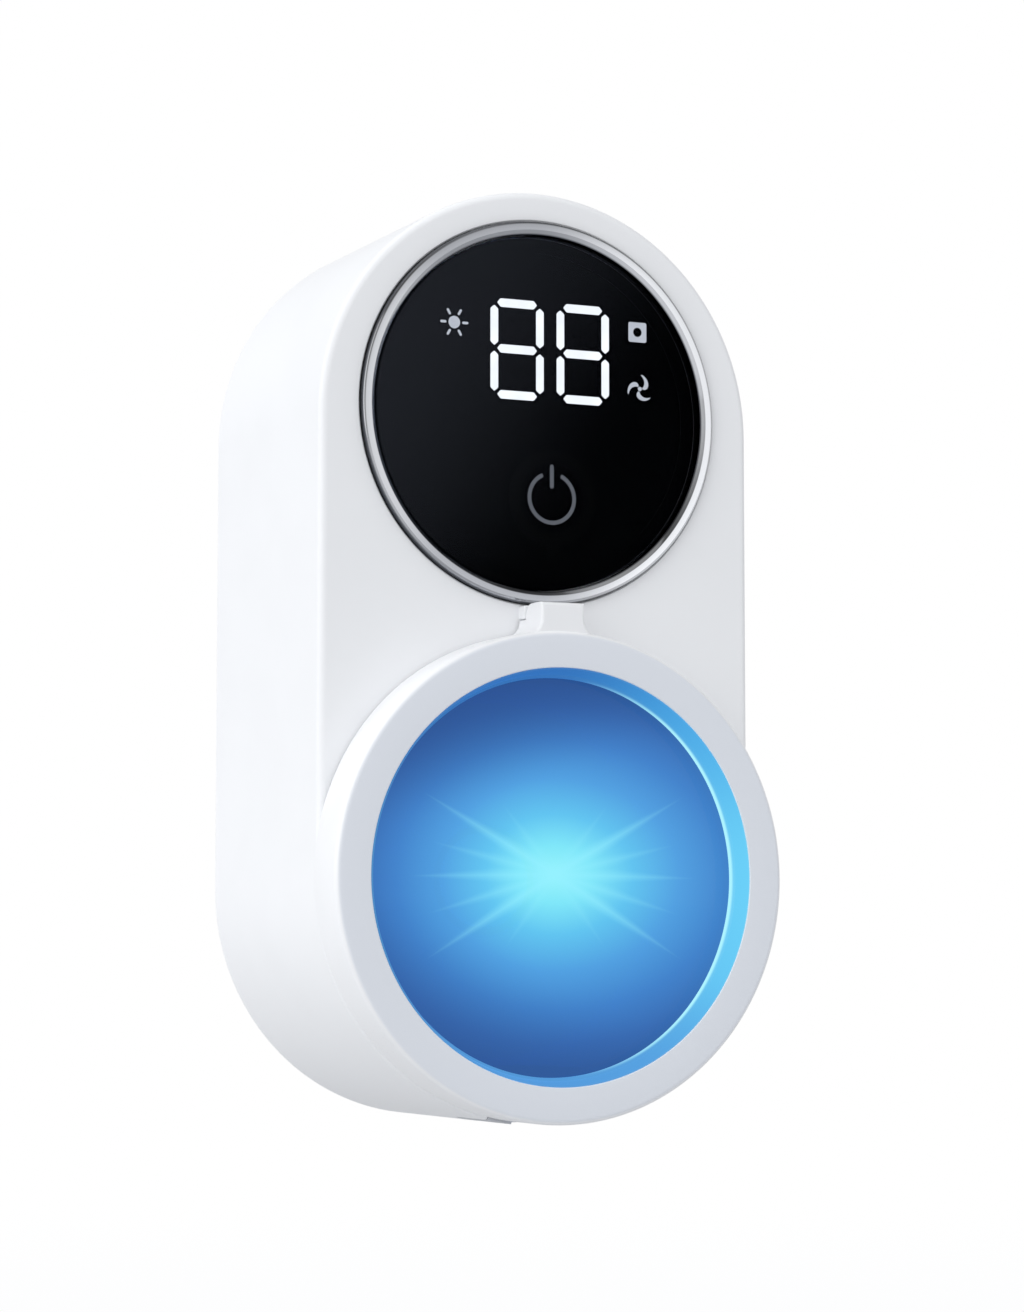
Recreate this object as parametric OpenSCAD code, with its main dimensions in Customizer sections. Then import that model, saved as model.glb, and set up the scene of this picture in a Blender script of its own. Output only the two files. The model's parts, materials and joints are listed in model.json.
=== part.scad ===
// Wall-mounted UV toothbrush sanitizer: a pill-shaped housing with a round
// display above and a round flip-up door with a window below. The neck of a
// toothbrush rests in a soft U-shaped slot under the chamber.
//
// World frame: millimetres, +Z up, the front faces -Y, and the wall is the
// plane Y = 0. Every module is drawn in a face frame, where X is across, Y is
// up and Z is the distance from the wall, and front() stands it up.

/* [Housing] */
// Width of the housing across its round ends
body_w = 72; // [72:1:76]
// Distance between the centres of the two round ends
body_gap = 70.5; // [70.5:0.5:78]
// Distance of the front face from the wall
face_h = 46; // [43:1:46]
// Thickness of the side walls
wall_t = 2; // [1.6:0.1:2.2]
// Thickness of the front wall
front_t = 2.2; // [2.2:0.1:2.4]
// Radius of the rounded front edge
edge_r = 1.2; // [0.6:0.2:1.6]

/* [Display] */
// Height of the display's centre
display_y = 37; // [37:0.5:37.5]
// Outer radius of the metal ring round the display
bezel_r = 29.6; // [29.2:0.1:29.8]
// How far the metal ring stands out of the face
bezel_proud = 1.0; // [0.6:0.1:1.2]
// Height of one digit
digit_h = 15.5; // [14:0.5:16]
// Width of one digit
digit_w = 9; // [8.5:0.1:9.6]
// Width of a lit bar
bar_w = 1.3; // [1.1:0.1:1.7]

/* [Door] */
// Height of the door's centre
door_y = -34; // [-35:0.5:-34]
// Outer radius of the door ring
door_r = 36.8; // [36:0.1:36.8]
// How far the door ring stands out of the face
door_proud = 9; // [9:0.5:10]
// Radius of the door's opening at its front
door_open_r = 31.2; // [31:0.1:31.4]
// Width of the hinge neck
neck_w = 7.2; // [7.2:0.2:9]

/* [Chamber] */
// Inner radius of the chamber
chamber_r = 29.5; // [28:0.5:29.5]
// Depth of the chamber behind the face
chamber_depth = 22.4; // [22:0.2:22.4]
// Number of flutes on the reflector
flutes = 24; // [12:2:36]

/* [Brush slot] */
// Radius of the soft rest for the brush neck
neck_rest_r = 4.6; // [4:0.1:4.8]
// Distance of the brush neck's axis behind the face
neck_back = 6.5; // [6.3:0.1:7]

/* [Wall plate] */
// Spacing of the two wall screws
screw_gap = 80; // [70:1:84]
// Radius of the wall screw holes
screw_r = 2.2; // [2:0.1:2.4]
// How far the unit lifts to unlock
lift = 10; // [8:1:10]

/* [Hidden] */
$fn = 96;

// points on a circle, and the four corners of a rectangle, both about the origin
function ring(r, angles) = [for (a = angles) [r * cos(a), r * sin(a)]];
function corners(x, y) = [for (i = [-x, x], j = [-y, y]) [i, j]];
DIAGONALS = [45:90:315];

// housing and rear cover
END_R = body_w / 2;
END_Y = body_gap / 2;
BOTTOM_Y = -END_Y - END_R;
INNER_R = END_R - wall_t;
SHELL_BACK = 1.0;
COVER_BACK = 3.6;
COVER_FRONT = 5.8;
COVER_R = INNER_R - 0.2;
BOSS_R = 29.6;
// angle, and which end it turns about: 1 upper, -1 lower, 0 the middle
BOSSES = [[0, 0], [180, 0], [45, 1], [135, 1], [-45, -1], [-135, -1]];
BOSS_POINTS = [for (b = BOSSES) ring(BOSS_R, [b[0]])[0] + [0, b[1] * END_Y]];

// wall plate
PLATE_GAP = 54;
WALL_SCREWS = [[0, -screw_gap / 2], [0, screw_gap / 2]];
HOOKS = corners(18, 22);
HOOK_STEM = 2; // half width of the stem and half height of the hook
HOOK_HEAD = 4; // half width of the head

// display: places from its centre
BEZEL_INNER = bezel_r - 2.15;
LIGHT_BACK = face_h - 5.6;
LIGHT_FRONT = face_h - 1.5;
DISPLAY_BACK = face_h - 8.4;
DISPLAY_FRONT = face_h - 6.8;
DISPLAY_SCREWS = ring(28.2, [90, 210, 330]);
DIGITS = [[-3.05, 9.85], [8.15, 9.85]];
BAR_X = (digit_w - bar_w) / 2;
BAR_Y = (digit_h - bar_w) / 4;
// seven bars of a digit: x, y, turn, length
BARS = concat(
  [for (s = [-1, 0, 1]) [0, s * 2 * BAR_Y, 0, digit_w - bar_w - 1.0]],
  [for (s = [-1, 1], t = [-1, 1]) [s * BAR_X, t * BAR_Y, 90, 2 * BAR_Y - 0.9]]);
LAMP_MARK = [-13.6, 13.3];
SQUARE_MARK = [17.6, 14.1];
FAN_MARK = [18.0, 5.2];
POWER = [2.8, -12.8];
MARK_GAP = 0.05; // clearance round each mark in the mask

// chamber and brush slot
FLOOR_FRONT = face_h - chamber_depth;
FLOOR_BACK = FLOOR_FRONT - 1.2;
LINER_R = chamber_r + 1.2;
FLOOR_POSTS = ring(20, DIAGONALS);
PROBE = [18, 13]; // from the chamber's centre
QUARTZ_R = 7.3;
NECK_Z = face_h - neck_back;
SLOT_HALF = 7;    // half width of the slot
SLOT_CORNER = 4.8; // centre of its rounded corners, from the neck axis
LIP_HALF = 8.4;   // half width of the grommet's lips
MAGNETS = ring(32.4, [235, 305]);
MAGNET_R = 1.2;

// fan and heater
FAN_Y = -50;
FAN_SCREWS = corners(10.4, 10.4);
HEATER_Y = -52.5;
HEATER_PIN_X = 15.7;

// main board and charging port
BOARD_BACK = 20;
BOARD_FRONT = BOARD_BACK + 1.6;
POSTS = [[-25, 14], [25, 14], [-14, 56], [14, 56]];
PLUG_Y = 12.4;
PLUG_Z = BOARD_FRONT + 2.4;
USB_Y = 28;
USB_Z = BOARD_FRONT + 1.65;
USB_HALF = 2.85; // centre of its round ends, from its middle
FLAP_X = END_R - 1.05; // port cover pin
FLAP_Y = USB_Y - 6.6;

// door
HINGE_Y = door_y + door_r + 2.2;
HINGE_Z = face_h + 4.8;
DOOR_FRONT = face_h + door_proud;

/* placing */
module front() { rotate([90, 0, 0]) children(); }
module raise(z) { translate([0, 0, z]) children(); }
module at_each(points) { for (p = points) translate(p) children(); }
module at_display() { translate([0, display_y]) children(); }
module at_chamber() { translate([0, door_y]) children(); }
module at_lower_end() { translate([0, -END_Y]) children(); }
module at_fan() { translate([0, FAN_Y]) children(); }
module at_heater() { translate([0, HEATER_Y]) children(); }
module at_hinge() { translate([0, HINGE_Y, HINGE_Z]) children(); }

/* basic shapes */
module rect(x0, x1, y0, y1) { translate([x0, y0]) square([x1 - x0, y1 - y0]); }
module slab(z0, z1) { raise(z0) linear_extrude(z1 - z0) children(); }
module box(x0, x1, y0, y1, z0, z1) {
  translate([x0, y0, z0]) cube([x1 - x0, y1 - y0, z1 - z0]);
}
module disc(r, z0, z1) { raise(z0) cylinder(r = r, h = z1 - z0); }
module pipe(r0, r1, z0, z1) { rotate_extrude() rect(r0, r1, z0, z1); }
// rods along X and along Y
module xrod(r, x0, x1) { translate([x0, 0]) rotate([0, 90, 0]) cylinder(r = r, h = x1 - x0); }
module yrod(r, y0, y1) { translate([0, y1]) rotate([90, 0, 0]) cylinder(r = r, h = y1 - y0); }
module stadium(r, gap) {
  union() {
    translate([0, gap / 2]) circle(r);
    translate([0, -gap / 2]) circle(r);
    square([2 * r, gap], center = true);
  }
}
// half profile of a slab with a rounded front edge and a rounded back edge
module edge_profile(r, z0, z1, front_r, back_r) {
  union() {
    rect(0, r, z0 + back_r, z1 - front_r);
    rect(0, r - back_r, z0, z0 + back_r + 0.1);
    rect(0, r - front_r, z1 - front_r - 0.1, z1);
    translate([r - front_r, z1 - front_r]) circle(front_r);
    translate([r - back_r, z0 + back_r]) circle(back_r);
  }
}
module soft_stadium(r, gap, z0, z1, front_r, back_r) {
  module profile() { edge_profile(r, z0, z1, front_r, back_r); }
  union() {
    translate([0, gap / 2]) rotate_extrude(angle = 180) profile();
    translate([0, -gap / 2]) rotate([0, 0, 180]) rotate_extrude(angle = 180) profile();
    rotate([90, 0, 0]) raise(-gap / 2) linear_extrude(gap) union() {
      profile();
      mirror([1, 0]) profile();
    }
  }
}
// U-shaped column along Y, open to the front at depth z1
module u_column(r, y0, y1, z1) {
  union() {
    raise(NECK_Z) yrod(r, y0, y1);
    box(-r, r, y0, y1, NECK_Z, z1);
  }
}
// flat-backed channel, open to the front, with rounded back corners
module slot_column(half, y0, y1, z1) {
  c = SLOT_CORNER;
  union() {
    box(-half, half, y0, y1, NECK_Z - c, z1);
    box(-c, c, y0, y1, NECK_Z - half, z1);
    for (s = [-1, 1]) translate([s * c, 0, NECK_Z - c]) yrod(half - c, y0, y1);
  }
}
// cross-head screw, its head at the origin and its shank towards +Z
module screw(head_r, head_h, shank_r, length) {
  reach = head_r * 0.62;
  union() {
    difference() {
      cylinder(r = head_r, h = head_h);
      for (turn = [0, 90]) rotate(turn) box(-reach, reach, -0.22, 0.22, -0.1, 0.7);
    }
    raise(head_h - 0.01) cylinder(r = shank_r, h = length);
  }
}
// round wire through a list of points
module wire_run(r, points) {
  union() for (i = [0:len(points) - 2]) {
    start = points[i];
    run = points[i + 1] - start;
    length = norm(run);
    translate(start) rotate([0, acos(run.z / length), atan2(run.y, run.x)])
      cylinder(r = r, h = length, $fn = 24);
    if (i > 0) translate(start) sphere(r = r, $fn = 24);
  }
}
// last points of a lead: forward at height y, then up into its connector
function to_plug(x, y, z) = [[x, y, z], [x, y, PLUG_Z], [x, PLUG_Y, PLUG_Z]];

/* wall side */
module adhesive_pad() {
  color("dimgray") front() difference() {
    slab(0, 0.8) stadium(26, PLATE_GAP);
    at_each(WALL_SCREWS) disc(5, -1, 2);
  }
}
// plate with four T-shaped hooks, two cross ribs and countersunk screw holes
module wall_plate() {
  color("gainsboro") front() difference() {
    union() {
      slab(0.82, 3.0) stadium(29, PLATE_GAP);
      at_each(HOOKS) {
        box(-HOOK_STEM, HOOK_STEM, -HOOK_STEM, HOOK_STEM, 2.9, 6.2);
        box(-HOOK_HEAD, HOOK_HEAD, -HOOK_STEM, HOOK_STEM, 6.1, 7.6);
      }
      for (y = [-8, 8]) box(-8, 8, y - 0.6, y + 0.6, 2.9, 3.4);
    }
    at_each(WALL_SCREWS) {
      disc(screw_r, 0, 4);
      raise(1.5) cylinder(r1 = screw_r, r2 = screw_r + 1.9, h = 1.9);
    }
  }
}

/* housing */
// screw bosses, each with a web to the side wall
module shell_bosses() {
  z0 = COVER_FRONT + 0.1;
  z1 = 14;
  for (i = [0:len(BOSSES) - 1]) translate(BOSS_POINTS[i]) {
    disc(2.6, z0, z1);
    rotate([0, 0, BOSSES[i][0]]) box(0, INNER_R - BOSS_R + 0.8, -1.5, 1.5, z0, z1);
  }
}
// tongue that carries the hinge pin
module hinge_tongue() {
  half = 1.9;
  foot = neck_w / 2 - 0.1;
  box(-foot, foot, HINGE_Y, HINGE_Y + 2.1, face_h - 1, face_h + 2);
  box(-half, half, HINGE_Y - half, HINGE_Y + half, face_h - 1.5, HINGE_Z);
  at_hinge() xrod(half, -half, half);
}
module display_seat_cuts() {
  at_display() {
    disc(25.2, face_h - 5, face_h + 1);
    disc(bezel_r + 0.1, face_h - 1.6, face_h + 1);
    at_each(DISPLAY_SCREWS) disc(0.9, face_h - 7, face_h - 2.4);
  }
}
module chamber_mouth_cuts() {
  at_chamber() {
    disc(LINER_R + 0.2, face_h - 4, face_h + 1);
    disc(32.6, face_h - 0.9, face_h + 0.5);
    at_each(MAGNETS) disc(MAGNET_R + 0.05, face_h - 3, face_h - 0.5);
  }
}
// slot for the brush neck, with a wider recess for the grommet's outer lip
module neck_slot_cuts() {
  slot_column(SLOT_HALF, BOTTOM_Y - 2, door_y - 24, face_h + 1);
  intersection() {
    at_lower_end() pipe(END_R - 0.95, END_R + 1, NECK_Z - 9, face_h + 1);
    slot_column(LIP_HALF + 0.15, BOTTOM_Y - 2, BOTTOM_Y + 3, face_h + 1);
  }
}
// solid along X with the outline of the charging port
module port_slot(r, x0, x1) {
  union() {
    for (s = [-1, 1]) translate([0, USB_Y + s * USB_HALF, USB_Z]) xrod(r, x0, x1);
    box(x0, x1, USB_Y - USB_HALF, USB_Y + USB_HALF, USB_Z - r, USB_Z + r);
  }
}
// charging port, the recess of its cover, and the cover's barrel pocket and pin holes
module port_cuts() {
  z0 = USB_Z - 4.25;
  z1 = USB_Z + 4.35;
  port_slot(1.95, INNER_R - 4, END_R + 2);
  box(END_R - 0.85, END_R + 2, FLAP_Y - 1.6, USB_Y + 6.8, z0, z1);
  translate([FLAP_X, FLAP_Y]) {
    disc(1.35, z0, z1);
    disc(0.52, USB_Z - 5.7, USB_Z + 5.8);
  }
}
module front_shell() {
  color("white") front() difference() {
    union() {
      difference() {
        soft_stadium(END_R, body_gap, SHELL_BACK, face_h, edge_r, 0.6);
        slab(SHELL_BACK - 1, face_h - front_t) stadium(INNER_R, body_gap);
      }
      // thick ring and screw bosses behind the display
      at_display() {
        disc(31.8, face_h - 4, face_h - 2.1);
        at_each(DISPLAY_SCREWS) disc(2.2, face_h - 6.75, face_h - 3.9);
      }
      shell_bosses();
      // pad inside the side wall round the charging port
      box(INNER_R - 2.1, INNER_R + 0.5, FLAP_Y - 3.4, 35.5, 17, 29.6);
      hinge_tongue();
    }
    display_seat_cuts();
    chamber_mouth_cuts();
    neck_slot_cuts();
    // pilot holes
    at_each(BOSS_POINTS) disc(1.1, COVER_FRONT - 1, 13.2);
    // hinge bore
    at_hinge() xrod(1.05, -3, 3);
    port_cuts();
  }
}
// T-shaped openings, wide at the bottom, that drop over the wall hooks
module hook_slots() {
  stem = HOOK_STEM + 0.2;
  head = HOOK_HEAD + 0.3;
  z0 = COVER_BACK - 1;
  z1 = COVER_FRONT + 1;
  at_each(HOOKS) {
    box(-stem, stem, -lift, HOOK_STEM + 0.1, z0, z1);
    box(-head, head, -lift - HOOK_STEM - 0.3, -lift + HOOK_STEM + 0.3, z0, z1);
  }
}
// upright slots that fill a circle in front of the fan's intake side
module air_intake() {
  vent_r = 11;
  pitch = 2.4;
  at_fan() for (i = [-4:4]) {
    x = i * pitch;
    half = sqrt(pow(vent_r, 2) - pow(x, 2)) - 0.3;
    box(x - 0.6, x + 0.6, -half, half, COVER_BACK - 1, COVER_FRONT + 1);
  }
}
module rear_cover() {
  color("whitesmoke") front() difference() {
    union() {
      slab(COVER_BACK, COVER_FRONT) stadium(COVER_R, body_gap);
      // rim behind the plate
      difference() {
        slab(SHELL_BACK + 0.2, COVER_BACK + 0.1) stadium(COVER_R, body_gap);
        slab(SHELL_BACK - 1, COVER_BACK + 0.2) stadium(COVER_R - 1.6, body_gap);
      }
      // posts for the main board, and stepped posts for the fan
      at_each(POSTS) disc(2.5, COVER_FRONT - 0.1, BOARD_BACK - 0.05);
      at_fan() at_each(FAN_SCREWS) {
        disc(2.1, COVER_FRONT - 0.1, 8.35);
        disc(1.2, 8, 14.1);
      }
    }
    at_each(POSTS) disc(0.9, 10, BOARD_BACK + 1);
    at_each(BOSS_POINTS) {
      disc(1.3, 1, 8);
      disc(2.5, 0.5, 5.02);
    }
    hook_slots();
    air_intake();
  }
}
module rear_cover_screws() {
  color("silver") front() at_each(BOSS_POINTS) raise(3.7) screw(2.2, 1.3, 1.05, 7.4);
}

/* display */
// metal ring, rounded more at its outer front edge than at its inner one
module bezel_ring() {
  outer = 0.7;
  inner = 0.35;
  back = face_h - 1.55;
  top = face_h + bezel_proud;
  color("silver") front() at_display() rotate_extrude() union() {
    rect(BEZEL_INNER, bezel_r, back, top - outer);
    rect(BEZEL_INNER, bezel_r - outer, back, top - inner);
    translate([bezel_r - outer, top - outer]) circle(outer);
    rect(BEZEL_INNER + inner, bezel_r - outer, face_h - 1, top);
    translate([BEZEL_INNER + inner, top - inner]) circle(inner);
  }
}
// dark lens with a chamfered front edge
module display_lens() {
  r = BEZEL_INNER - 0.15;
  back = face_h - 1.35;
  top = face_h + 0.4;
  color("black", 0.6) front() at_display() rotate_extrude()
    polygon([[0, back], [r, back], [r, top - 0.25], [r - 0.25, top], [0, top]]);
}
module lens_gasket() {
  color("dimgray") front() at_display()
    pipe(25.6, BEZEL_INNER - 0.35, face_h - 1.58, face_h - 1.38);
}
// one bar of a digit, lying along X, with pointed ends
module bar(length, w) {
  end = length / 2;
  shoulder = end - w * 0.32;
  side = w / 2;
  tip = w * 0.18;
  polygon([[-shoulder, -side], [shoulder, -side], [end, -tip], [end, tip],
    [shoulder, side], [-shoulder, side], [-end, tip], [-end, -tip]]);
}
// The marks below are drawn in the face plane, enlarged all round by grow.
module digits(grow) {
  at_each(DIGITS) for (b = BARS)
    translate([b.x, b.y]) rotate(b.z) bar(b[3] + 2 * grow, bar_w + 2 * grow);
}
// dot with six rays
module lamp_mark(grow) {
  circle(1.05 + grow, $fn = 48);
  for (a = [0:60:300]) rotate(a) rect(1.55 - grow, 2.45 + grow, -0.22 - grow, 0.22 + grow);
}
// square with a round hole and a slit down from it
module square_mark(grow) {
  difference() {
    square(3.1 + 2 * grow, center = true);
    circle(0.75 - grow, $fn = 32);
    rect(-0.25 + grow, 0.25 - grow, -3, 0);
  }
}
// three blades
module fan_mark(grow) {
  for (a = [20:120:260]) rotate(a) rect(0.55 - grow, 2.25 + grow, -0.35 - grow, 0.75 + grow);
}
module icons(grow) {
  translate(LAMP_MARK) lamp_mark(grow);
  translate(SQUARE_MARK) square_mark(grow);
  translate(FAN_MARK) fan_mark(grow);
}
// ring open at the top, with an upright bar in the opening
module power_mark(grow) {
  open = 3.4 - grow * 1.6;
  translate(POWER) {
    difference() {
      circle(4.1 + grow);
      circle(3.5 - grow);
      polygon([[0, 0], [open, 8], [-open, 8]]);
    }
    rect(-0.3 - grow, 0.3 + grow, 1.5 - grow, 5.1 + grow);
  }
}
// dark block behind the lens, cut through for every lit mark
module segment_mask() {
  z0 = face_h - 7;
  z1 = face_h - 1;
  color([0.05, 0.05, 0.06]) front() at_display() difference() {
    disc(25.1, face_h - 6.75, LIGHT_FRONT);
    slab(z0, z1) digits(MARK_GAP);
    slab(z0, z1) icons(MARK_GAP);
    slab(z0, z1) power_mark(MARK_GAP);
  }
}
module digit_segments() {
  color("white") front() at_display() at_each(DIGITS) for (b = BARS)
    translate([b.x, b.y]) rotate(b.z) slab(LIGHT_BACK, LIGHT_FRONT) bar(b[3], bar_w);
}
module indicator_icons() {
  color("white") front() at_display() slab(LIGHT_BACK, LIGHT_FRONT) icons(0);
}
module power_symbol() {
  color("lightgray") front() at_display() slab(LIGHT_BACK, LIGHT_FRONT) power_mark(0);
}
// thin ring round the power symbol, with a tail downwards
module touch_electrode() {
  z0 = face_h - 1.48;
  z1 = face_h - 1.4;
  color([0.1, 0.1, 0.1]) front() at_display() translate(POWER) union() {
    pipe(5.4, 7.4, z0, z1);
    box(-1, 1, -9.6, -7, z0, z1);
  }
}
module display_board() {
  color([0.05, 0.2, 0.12]) front() at_display() difference() {
    disc(30, DISPLAY_BACK, DISPLAY_FRONT);
    at_each(DISPLAY_SCREWS) disc(1.1, face_h - 9, face_h - 6);
  }
}
// one LED package, w across and h high
module led(w, h) {
  box(-w / 2, w / 2, -h / 2, h / 2, DISPLAY_FRONT + 0.02, DISPLAY_FRONT + 0.7);
}
module display_leds() {
  color("lightyellow") front() at_display() {
    at_each(DIGITS) for (b = BARS) translate([b.x, b.y]) rotate(b.z) led(1.1, 0.9);
    translate(LAMP_MARK) led(1.1, 0.9);
    translate(SQUARE_MARK - [1.25, 0]) led(0.7, 1);
    translate(POWER + [0, 3.0]) led(0.5, 0.9);
  }
}
// four parts on the back of the display board
module display_driver() {
  z1 = DISPLAY_BACK - 0.02;
  color([0.1, 0.1, 0.1]) front() at_display() {
    box(-13, -5, -14, -4, face_h - 9.5, z1);
    box(-5, 5, 12, 16, face_h - 10.1, z1);
    for (y = [-8, -2]) box(8, 10, y, y + 3, face_h - 9.2, z1);
  }
}
module display_board_screws() {
  color("silver") front() at_display() at_each(DISPLAY_SCREWS)
    raise(face_h - 9.75) screw(1.8, 1.3, 0.85, 5.2);
}

/* chamber */
// flanged cup with posts on its floor and pins for the heater behind it
module chamber_liner() {
  z0 = FLOOR_BACK - 1;
  z1 = FLOOR_FRONT + 1;
  color("lightblue") front() at_chamber() difference() {
    union() {
      rotate_extrude() union() {
        rect(chamber_r, LINER_R, FLOOR_BACK, face_h);
        rect(0, LINER_R, FLOOR_BACK, FLOOR_FRONT);
        rect(chamber_r, 32.4, face_h - 0.8, face_h);
        polygon([[chamber_r - 2, FLOOR_FRONT - 0.1], [chamber_r + 0.1, FLOOR_FRONT - 0.1],
          [chamber_r + 0.1, FLOOR_FRONT + 2], [chamber_r, FLOOR_FRONT + 2]]);
      }
      at_each(FLOOR_POSTS) disc(1.6, FLOOR_FRONT - 0.1, FLOOR_FRONT + 2.85);
      for (s = [-1, 1]) translate([s * HEATER_PIN_X, HEATER_Y - door_y])
        disc(0.95, FLOOR_BACK - 3.4, FLOOR_BACK + 0.2);
    }
    disc(6.4, z0, z1);
    // slots in front of the heater
    translate([0, HEATER_Y - door_y]) for (i = [-2:2])
      box(i * 4.4 - 1, i * 4.4 + 1, -3.4, 3.4, z0, z1);
    translate(PROBE) disc(1.15, z0, z1);
    at_each(FLOOR_POSTS) disc(0.8, FLOOR_FRONT + 0.6, FLOOR_FRONT + 3);
    translate([0, -door_y]) slot_column(SLOT_HALF, BOTTOM_Y - 2, door_y - 22, face_h + 1);
  }
}
// shallow cone with radial ribs, pocketed behind for the floor posts
module uv_reflector() {
  inner = 9;
  outer = 27.6;
  rise = 2;
  back = FLOOR_FRONT + 1.9;
  thick = 0.8;
  slope = atan(rise / (outer - inner));
  color("aliceblue") front() at_chamber() difference() {
    union() {
      rotate_extrude() polygon([[inner, back], [outer, back + rise],
        [outer, back + rise + thick], [inner, back + thick]]);
      for (i = [0:flutes - 1]) rotate([0, 0, i * 360 / flutes])
        translate([10.2, 0, FLOOR_FRONT + 2.62]) rotate([0, -slope, 0])
          box(0, 16.6, -0.35, 0.35, 0, 0.55);
    }
    at_each(FLOOR_POSTS) disc(1.75, FLOOR_FRONT, FLOOR_FRONT + 2.95);
  }
}
// flat disc with a domed front
module quartz_lens() {
  color([0.7, 0.95, 1.0], 0.5) front() at_chamber() union() {
    disc(QUARTZ_R, FLOOR_FRONT + 0.05, FLOOR_FRONT + 2.0);
    intersection() {
      disc(QUARTZ_R, FLOOR_FRONT + 1.9, FLOOR_FRONT + 6);
      raise(FLOOR_FRONT + 2.0 - QUARTZ_R) sphere(r = 10.324);
    }
  }
}
module lens_retainer() {
  color("silver") front() at_chamber()
    pipe(QUARTZ_R + 0.1, 8.85, FLOOR_FRONT + 0.05, FLOOR_FRONT + 1.8);
}
module uv_led_board() {
  color("white") front() at_chamber() difference() {
    disc(9.8, FLOOR_BACK - 1.7, FLOOR_BACK - 0.05);
    for (x = [-8.3, 8.3]) translate([x, 0]) disc(0.7, FLOOR_BACK - 3, FLOOR_BACK + 1);
  }
}
// one large chip in the middle and four small ones round it
module uv_led_chips() {
  color("gold") front() at_chamber() {
    box(-1.75, 1.75, -1.75, 1.75, FLOOR_BACK, FLOOR_BACK + 1.1);
    at_each(ring(4.3, DIAGONALS)) box(-0.8, 0.8, -0.8, 0.8, FLOOR_BACK, FLOOR_BACK + 0.8);
  }
}
module neck_grommet() {
  y0 = BOTTOM_Y - 1;
  back = NECK_Z - 8.6;
  top = face_h - 0.3;
  lip_top = face_h - 2.6;
  rim_r = END_R - 0.02;
  color("lightgray") front() difference() {
    union() {
      intersection() {
        at_lower_end() disc(rim_r, back, top);
        slot_column(SLOT_HALF - 0.15, y0, door_y - 28.6, top);
      }
      // outer lip, let into the housing and flush with it
      intersection() {
        at_lower_end() pipe(END_R - 0.88, rim_r, back, top);
        slot_column(LIP_HALF, y0, BOTTOM_Y + 3, top);
      }
      // inner lip
      intersection() {
        at_lower_end() pipe(INNER_R - 1.4, INNER_R - 0.1, back, lip_top);
        slot_column(LIP_HALF, BOTTOM_Y, BOTTOM_Y + 6, lip_top);
      }
    }
    u_column(neck_rest_r, y0 - 3, door_y - 20, face_h + 1);
  }
}
module housing_magnets() {
  color("silver") front() at_chamber() at_each(MAGNETS)
    disc(MAGNET_R, face_h - 2.15, face_h - 0.95);
}
module door_sensor() {
  color([0.1, 0.1, 0.1]) front() at_chamber() rotate([0, 0, 222])
    box(31.5, 32.9, -1.8, 1.8, face_h - 5.2, face_h - 2.3);
}

/* heater and fan */
// open frame with an ear at each side for the liner's pins
module heater_frame() {
  front_z = FLOOR_BACK - 0.4;
  color("beige") front() at_heater() difference() {
    union() {
      box(-13.6, 13.6, -7, 7, FLOOR_BACK - 5.2, front_z);
      box(-17.6, 17.6, -2.4, 2.4, FLOOR_BACK - 2.2, front_z);
    }
    box(-12.2, 12.2, -5.2, 5.2, FLOOR_BACK - 6, FLOOR_BACK + 1);
    for (s = [-1, 1]) translate([s * HEATER_PIN_X, 0])
      disc(1.05, FLOOR_BACK - 6, FLOOR_BACK + 1);
  }
}
module heater_elements() {
  color([0.25, 0.25, 0.27]) front() at_heater() for (y = [-4.35, 4.35])
    box(-11.9, 11.9, y - 0.7, y + 0.7, FLOOR_BACK - 5, FLOOR_BACK - 0.6);
}
// upright fins joined by a cross web
module heater_fins() {
  pitch = 1.85;
  half_t = 0.2;
  z0 = FLOOR_BACK - 4.9;
  z1 = FLOOR_BACK - 0.7;
  color("silver") front() at_heater() union() {
    for (i = [-6:6]) box(i * pitch - half_t, i * pitch + half_t, -3.6, 3.6, z0, z1);
    box(-11.5, 11.5, -half_t, half_t, z0, z1);
  }
}
// square frame with a hub on three spokes at its back
module fan_frame() {
  back = 8.4;
  hub_front = 9.2;
  color([0.1, 0.1, 0.1]) front() at_fan() difference() {
    union() {
      difference() {
        box(-12.5, 12.5, -12.5, 12.5, back, 13.6);
        disc(11.7, 8, 14);
      }
      disc(5.6, back, hub_front);
      for (a = [30, 150, 270]) rotate([0, 0, a]) box(5, 12, -0.6, 0.6, back, hub_front);
      disc(1.9, back, 11.8);
    }
    disc(1.28, 8.9, 12);
    at_each(FAN_SCREWS) disc(1.3, 8, 14);
  }
}
module fan_bearing() { color("goldenrod") front() at_fan() pipe(0.8, 1.25, 9.0, 11.7); }
module fan_stator() {
  color("chocolate") front() at_fan() union() {
    pipe(1.95, 3.0, 9.3, 12.0);
    for (a = DIAGONALS) rotate([0, 0, a]) box(2.8, 4.9, -1.1, 1.1, 9.6, 11.8);
  }
}
module fan_shaft() { color("silver") front() at_fan() disc(0.75, 9.05, 12.45); }
// cup with seven tilted blades
module fan_rotor() {
  blades = 7;
  color([0.15, 0.15, 0.16]) front() at_fan() union() {
    pipe(5.4, 6.2, 9.7, 13.2);
    disc(6.2, 12.45, 13.2);
    for (i = [0:blades - 1]) rotate([0, 0, i * 360 / blades]) intersection() {
      pipe(5.9, 11.3, 9.8, 13.1);
      translate([8.6, 0, 11.45]) rotate([38, 0, 0]) cube([6.4, 0.8, 8], center = true);
    }
  }
}
module temperature_probe() {
  r = 0.95;
  tip = FLOOR_FRONT + 0.7;
  color("darkred") front() at_chamber() translate(PROBE) union() {
    disc(r, FLOOR_BACK - 1.4, tip);
    raise(tip) sphere(r = r, $fn = 32);
  }
}

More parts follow.
